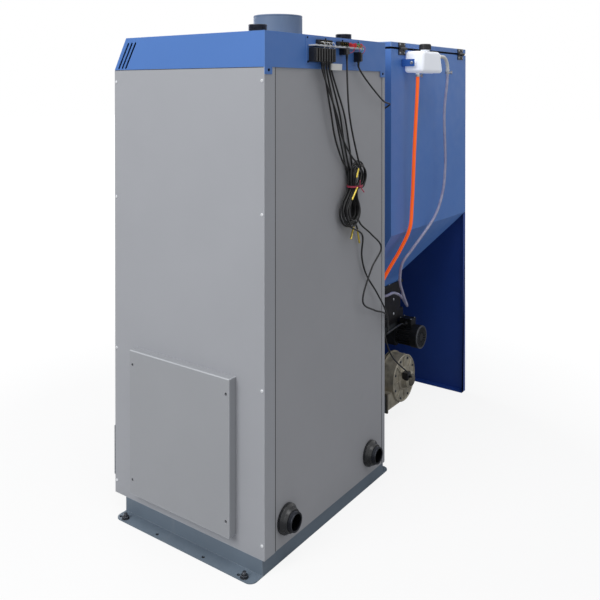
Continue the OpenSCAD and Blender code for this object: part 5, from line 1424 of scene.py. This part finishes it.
hex_bolts("gearbox_bolts", [(x, -48, z) for x in (-956.5, -896.5) for z in (293, 377)], (0, -1, 0), 5,
          BOLT, body_of("gearbox"))
cover = turned("shaft_cover", [
    (29, 0), (30, 1), (30, 3), (27, 5), (14, 6), (12.6, 8), (4, 8.6),
], (-970, 0, FEED_Z), (-1, 0, 0), sides=56)
dressed(cover, 36, CAST_BLACK, "gearbox")
spots = round_spots((-974.6, 0, FEED_Z), 23, (0.5, 2.07, 3.64, 5.21), "X")
hex_bolts("cover_bolts", spots, (-1, 0, 0), 3, BOLT, body_of("gearbox"))
plug_top = turned("oil_plug", [(9, 0), (9, 3), (7, 4), (7, 9), (6, 10)], (-920, -20, 392), sides=6)
dressed(plug_top, 30, BRASS, "gearbox")

rim = turned("cowl_rim", [
    (47.6, 0), (48.6, 0.8), (48.6, 4.2), (47.4, 5.6), (45, 6), (42.5, 5.4), (42.5, 3.6), (46, 3.0), (46, 0),
], (-930.5, 147, 288), (0, 1, 0), sides=80, through=True)
dressed(rim, 36, RIM_GREY, "motor_cowl")
box_lid = block("box_lid", (-953, 57, 355.5), (-908, 115, 359))
pushed(box_lid, lambda c, n: n.z > 0.9, (2.4, 1.6))
rounded(box_lid, 1.2, 3)
dressed(box_lid, 36, MOTOR, "gear_motor")
hex_bolts("box_lid_screws", [(x, y, 360.4) for x in (-948, -913) for y in (62, 110)], (0, 0, 1), 2.4,
          ZINC, body_of("gear_motor"))
gland = turned("cable_gland", [
    (8.5, 0), (8.5, 4), (7.4, 5), (7.4, 9), (6.2, 11), (3.0, 12),
], (-908.6, 90, 342), (1, 0, 0), sides=8)
dressed(gland, 30, BLACK, "gear_motor")

rib = rounded(block("rib", (-777, 149.6, 202), (-773, 153.4, 250)), 1.2, 3)
ribs = ringed(rib, "ribs", 8, BLOWER_AT, (0, 1, 0))
boss = turned("boss_ring", [
    (47, -0.4), (47, 2.6), (44, 4.6), (39, 5.2), (36.5, 8), (35.2, 20), (34.4, 20.4), (34.4, 0),
], BLOWER_AT, (0, 1, 0), sides=72, through=True)
rim = turned("disc_rim", [
    (93.4, -3), (93.4, 0.6), (92, 2.4), (88.6, 3.0), (86.6, 1.4), (86, -0.4), (86, -3),
], BLOWER_AT, (0, 1, 0), sides=112, through=True)
dressed(joined("blower_face", [boss, ribs, rim]), 36, CAST_GREY, "blower_housing")
spots = round_spots(BLOWER_AT, 79, even_angles(8, 22.5), "Y")
hex_bolts("blower_bolts", spots, (0, 1, 0), 4.2, BOLT, body_of("blower_housing"))
cap = turned("motor_end", [
    (24, 0), (24, 1.6), (22, 4.6), (17, 6.8), (9, 7.8), (3, 8),
], BLOWER_AT + Vector((0, 34.6, 0)), (0, 1, 0), sides=56)
dressed(cap, 40, CAST_DARK, "blower_housing")
junction = block("junction", (-769.6, 160, 169.4), (-740.4, 184, 198.6))
pushed(junction, lambda c, n: n.y > 0.9, (1.6, 1.2), (1.2, -0.6))
rounded(junction, 1.4, 3)
dressed(junction, 36, BLACK, "blower_housing")
flange = rounded(ring_of("duct_flange", (-645, 80, 65), (-636, 150, 140), 8.2, 0), 1.0)
dressed(flange, 32, CAST_DARK, "blower_duct")

collar = turned("feeder_collar", [
    (66, 0), (66, 5), (64.6, 6), (55, 6.4), (53.4, 9), (53.4, 22), (52, 23.4), (50.1, 23.4), (50.1, 0),
], (-490.4, 0, FEED_Z), (-1, 0, 0), sides=80, through=True)
dressed(collar, 36, BURNER, "burner")
spots = round_spots((-496.6, 0, FEED_Z), 59.5, even_angles(6, 30), "X")
hex_bolts("collar_bolts", spots, (-1, 0, 0), 4.4, BOLT, body_of("burner"))
neck = rounded(ring_of("neck_flange", (-896, -83, 521), (-572, 83, 531), 7.9, 2), 1.0)
dressed(neck, 32, DROP, "drop_box")
spots = [(x, s * 79.6, 531) for x in (-860, -780, -690, -608) for s in (-1, 1)]
hex_bolts("neck_bolts", spots, (0, 0, 1), 3.0, ZINC, body_of("drop_box"))
spots = [(-490.4, y, FEED_Z + rise) for y in (-138, 138) for rise in (-121, 0, 121)]
hex_bolts("burner_cover_bolts", spots, (-1, 0, 0), 4.4, BOLT, body_of("burner"))
foot = rounded(ring_of("duct_foot", (-480, 78, 190), (-432, 152, 199.6), 8.4, 2), 0.8)
dressed(foot, 32, BURNER, "blower_duct")


# Mineral wool between the vessel and the casing

def wool_blanket():
    """The space's form, drawn in from its walls, with the soft uneven skin of mineral wool."""
    o = bpy.data.objects.new("wool_blanket", NODES["insulation"].data.copy())
    bpy.context.scene.collection.objects.link(o)
    o.data.materials.clear()
    opened(o)
    ops.mesh.remove_doubles(threshold=MERGE)
    done(o)
    m = o.modifiers.new("even mesh", "REMESH")
    m.mode = "VOXEL"
    m.voxel_size = 0.013
    apply_modifiers(o)
    grain = bpy.data.textures.new("wool_lumps", "CLOUDS")
    grain.noise_scale = 0.05
    m = o.modifiers.new("lumps", "DISPLACE")
    m.texture = grain
    m.texture_coords = "LOCAL"
    m.mid_level = 1.0
    m.strength = 0.006
    apply_modifiers(o)
    only(o)
    ops.object.shade_smooth()
    wear(painted(o, WOOL), WOOL, body_of("insulation"), ["insulation"])


wool_blanket()


# Floor and light

def pale_floor():
    """Pale floor that shows white to the camera and keeps the shadow that falls near the boiler."""
    f = Finish("floor_white")
    f.tree.nodes.remove(f.shader)
    flat = f.add("ShaderNodeBsdfDiffuse")
    flat.inputs["Color"].default_value = (0.48, 0.48, 0.48, 1)
    glow = f.add("ShaderNodeEmission")
    glow.inputs["Strength"].default_value = 1.12
    far = f.add("ShaderNodeVectorMath", operation="LENGTH")
    f.link(f.where, far.inputs[0])
    lift = f.range(far.outputs["Value"], 0.78, 1.0, 1.2, 3.4)
    seen = f.add("ShaderNodeMath", operation="MULTIPLY")
    f.link(f.add("ShaderNodeLightPath").outputs["Is Camera Ray"], seen.inputs[0])
    f.link(lift, seen.inputs[1])
    mix = f.add("ShaderNodeMixShader")
    f.link(seen.outputs[0], mix.inputs["Fac"])
    f.link(flat.outputs[0], mix.inputs[1])
    f.link(glow.outputs[0], mix.inputs[2])
    out = [n for n in f.tree.nodes if n.type == "OUTPUT_MATERIAL"][0]
    f.link(mix.outputs[0], out.inputs["Surface"])
    return f.made


ops.object.select_all(action="DESELECT")
ops.mesh.primitive_plane_add(size=60, location=(0, 0, -0.0004))
floor = bpy.context.object
floor.name = "floor"
floor.data.materials.append(pale_floor())
shade = block("base_shade", (-376, -246, -1), (376, 290, 0.1))
painted(shade, moulded("shade_under_base", "14151A", 0.9))


def studio():
    """Soft light on the boiler, and plain white where the camera, gloss or clear plastic sees past it."""
    world = bpy.data.worlds.new("studio")
    bpy.context.scene.world = world
    world.use_nodes = True
    tree = world.node_tree
    tree.nodes.clear()
    add, link = tree.nodes.new, tree.links.new
    lights = []
    for colour, strength in (((0.93, 0.95, 1, 1), 0.36), ((1, 1, 1, 1), 1.0)):
        light = add("ShaderNodeBackground")
        light.inputs["Color"].default_value = colour
        light.inputs["Strength"].default_value = strength
        lights.append(light.outputs[0])
    rays = add("ShaderNodeLightPath").outputs
    seen = rays["Is Camera Ray"]
    for ray in ("Is Glossy Ray", "Is Transmission Ray"):
        either = add("ShaderNodeMath")
        either.operation = "MAXIMUM"
        link(seen, either.inputs[0])
        link(rays[ray], either.inputs[1])
        seen = either.outputs[0]
    mix = add("ShaderNodeMixShader")
    for source, socket in zip((seen, *lights), mix.inputs):
        link(source, socket)
    link(mix.outputs[0], add("ShaderNodeOutputWorld").inputs["Surface"])


studio()


def lamp(name, at, target, watts):
    """Soft lamp, 3 m across, that looks at its target."""
    data = bpy.data.lights.new(name, "AREA")
    data.shape = "DISK"
    data.size = 3.0
    data.energy = watts
    o = bpy.data.objects.new(name, data)
    bpy.context.scene.collection.objects.link(o)
    o.location = at
    o.rotation_mode = "QUATERNION"
    o.rotation_quaternion = (Vector(target) - Vector(at)).to_track_quat("-Z", "Y")


lamp("key", (4.2, -0.6, 3.4), (0, 0, 0.8), 124)
lamp("top", (0.6, 0.8, 4.6), (0, 0, 0.9), 60)
lamp("rear", (-0.8, 4.6, 2.8), (-0.2, 0, 0.8), 14)
lamp("front", (-2.4, -4.6, 3.0), (0, 0, 0.8), 80)

bpy.context.scene.view_settings.view_transform = "Standard"
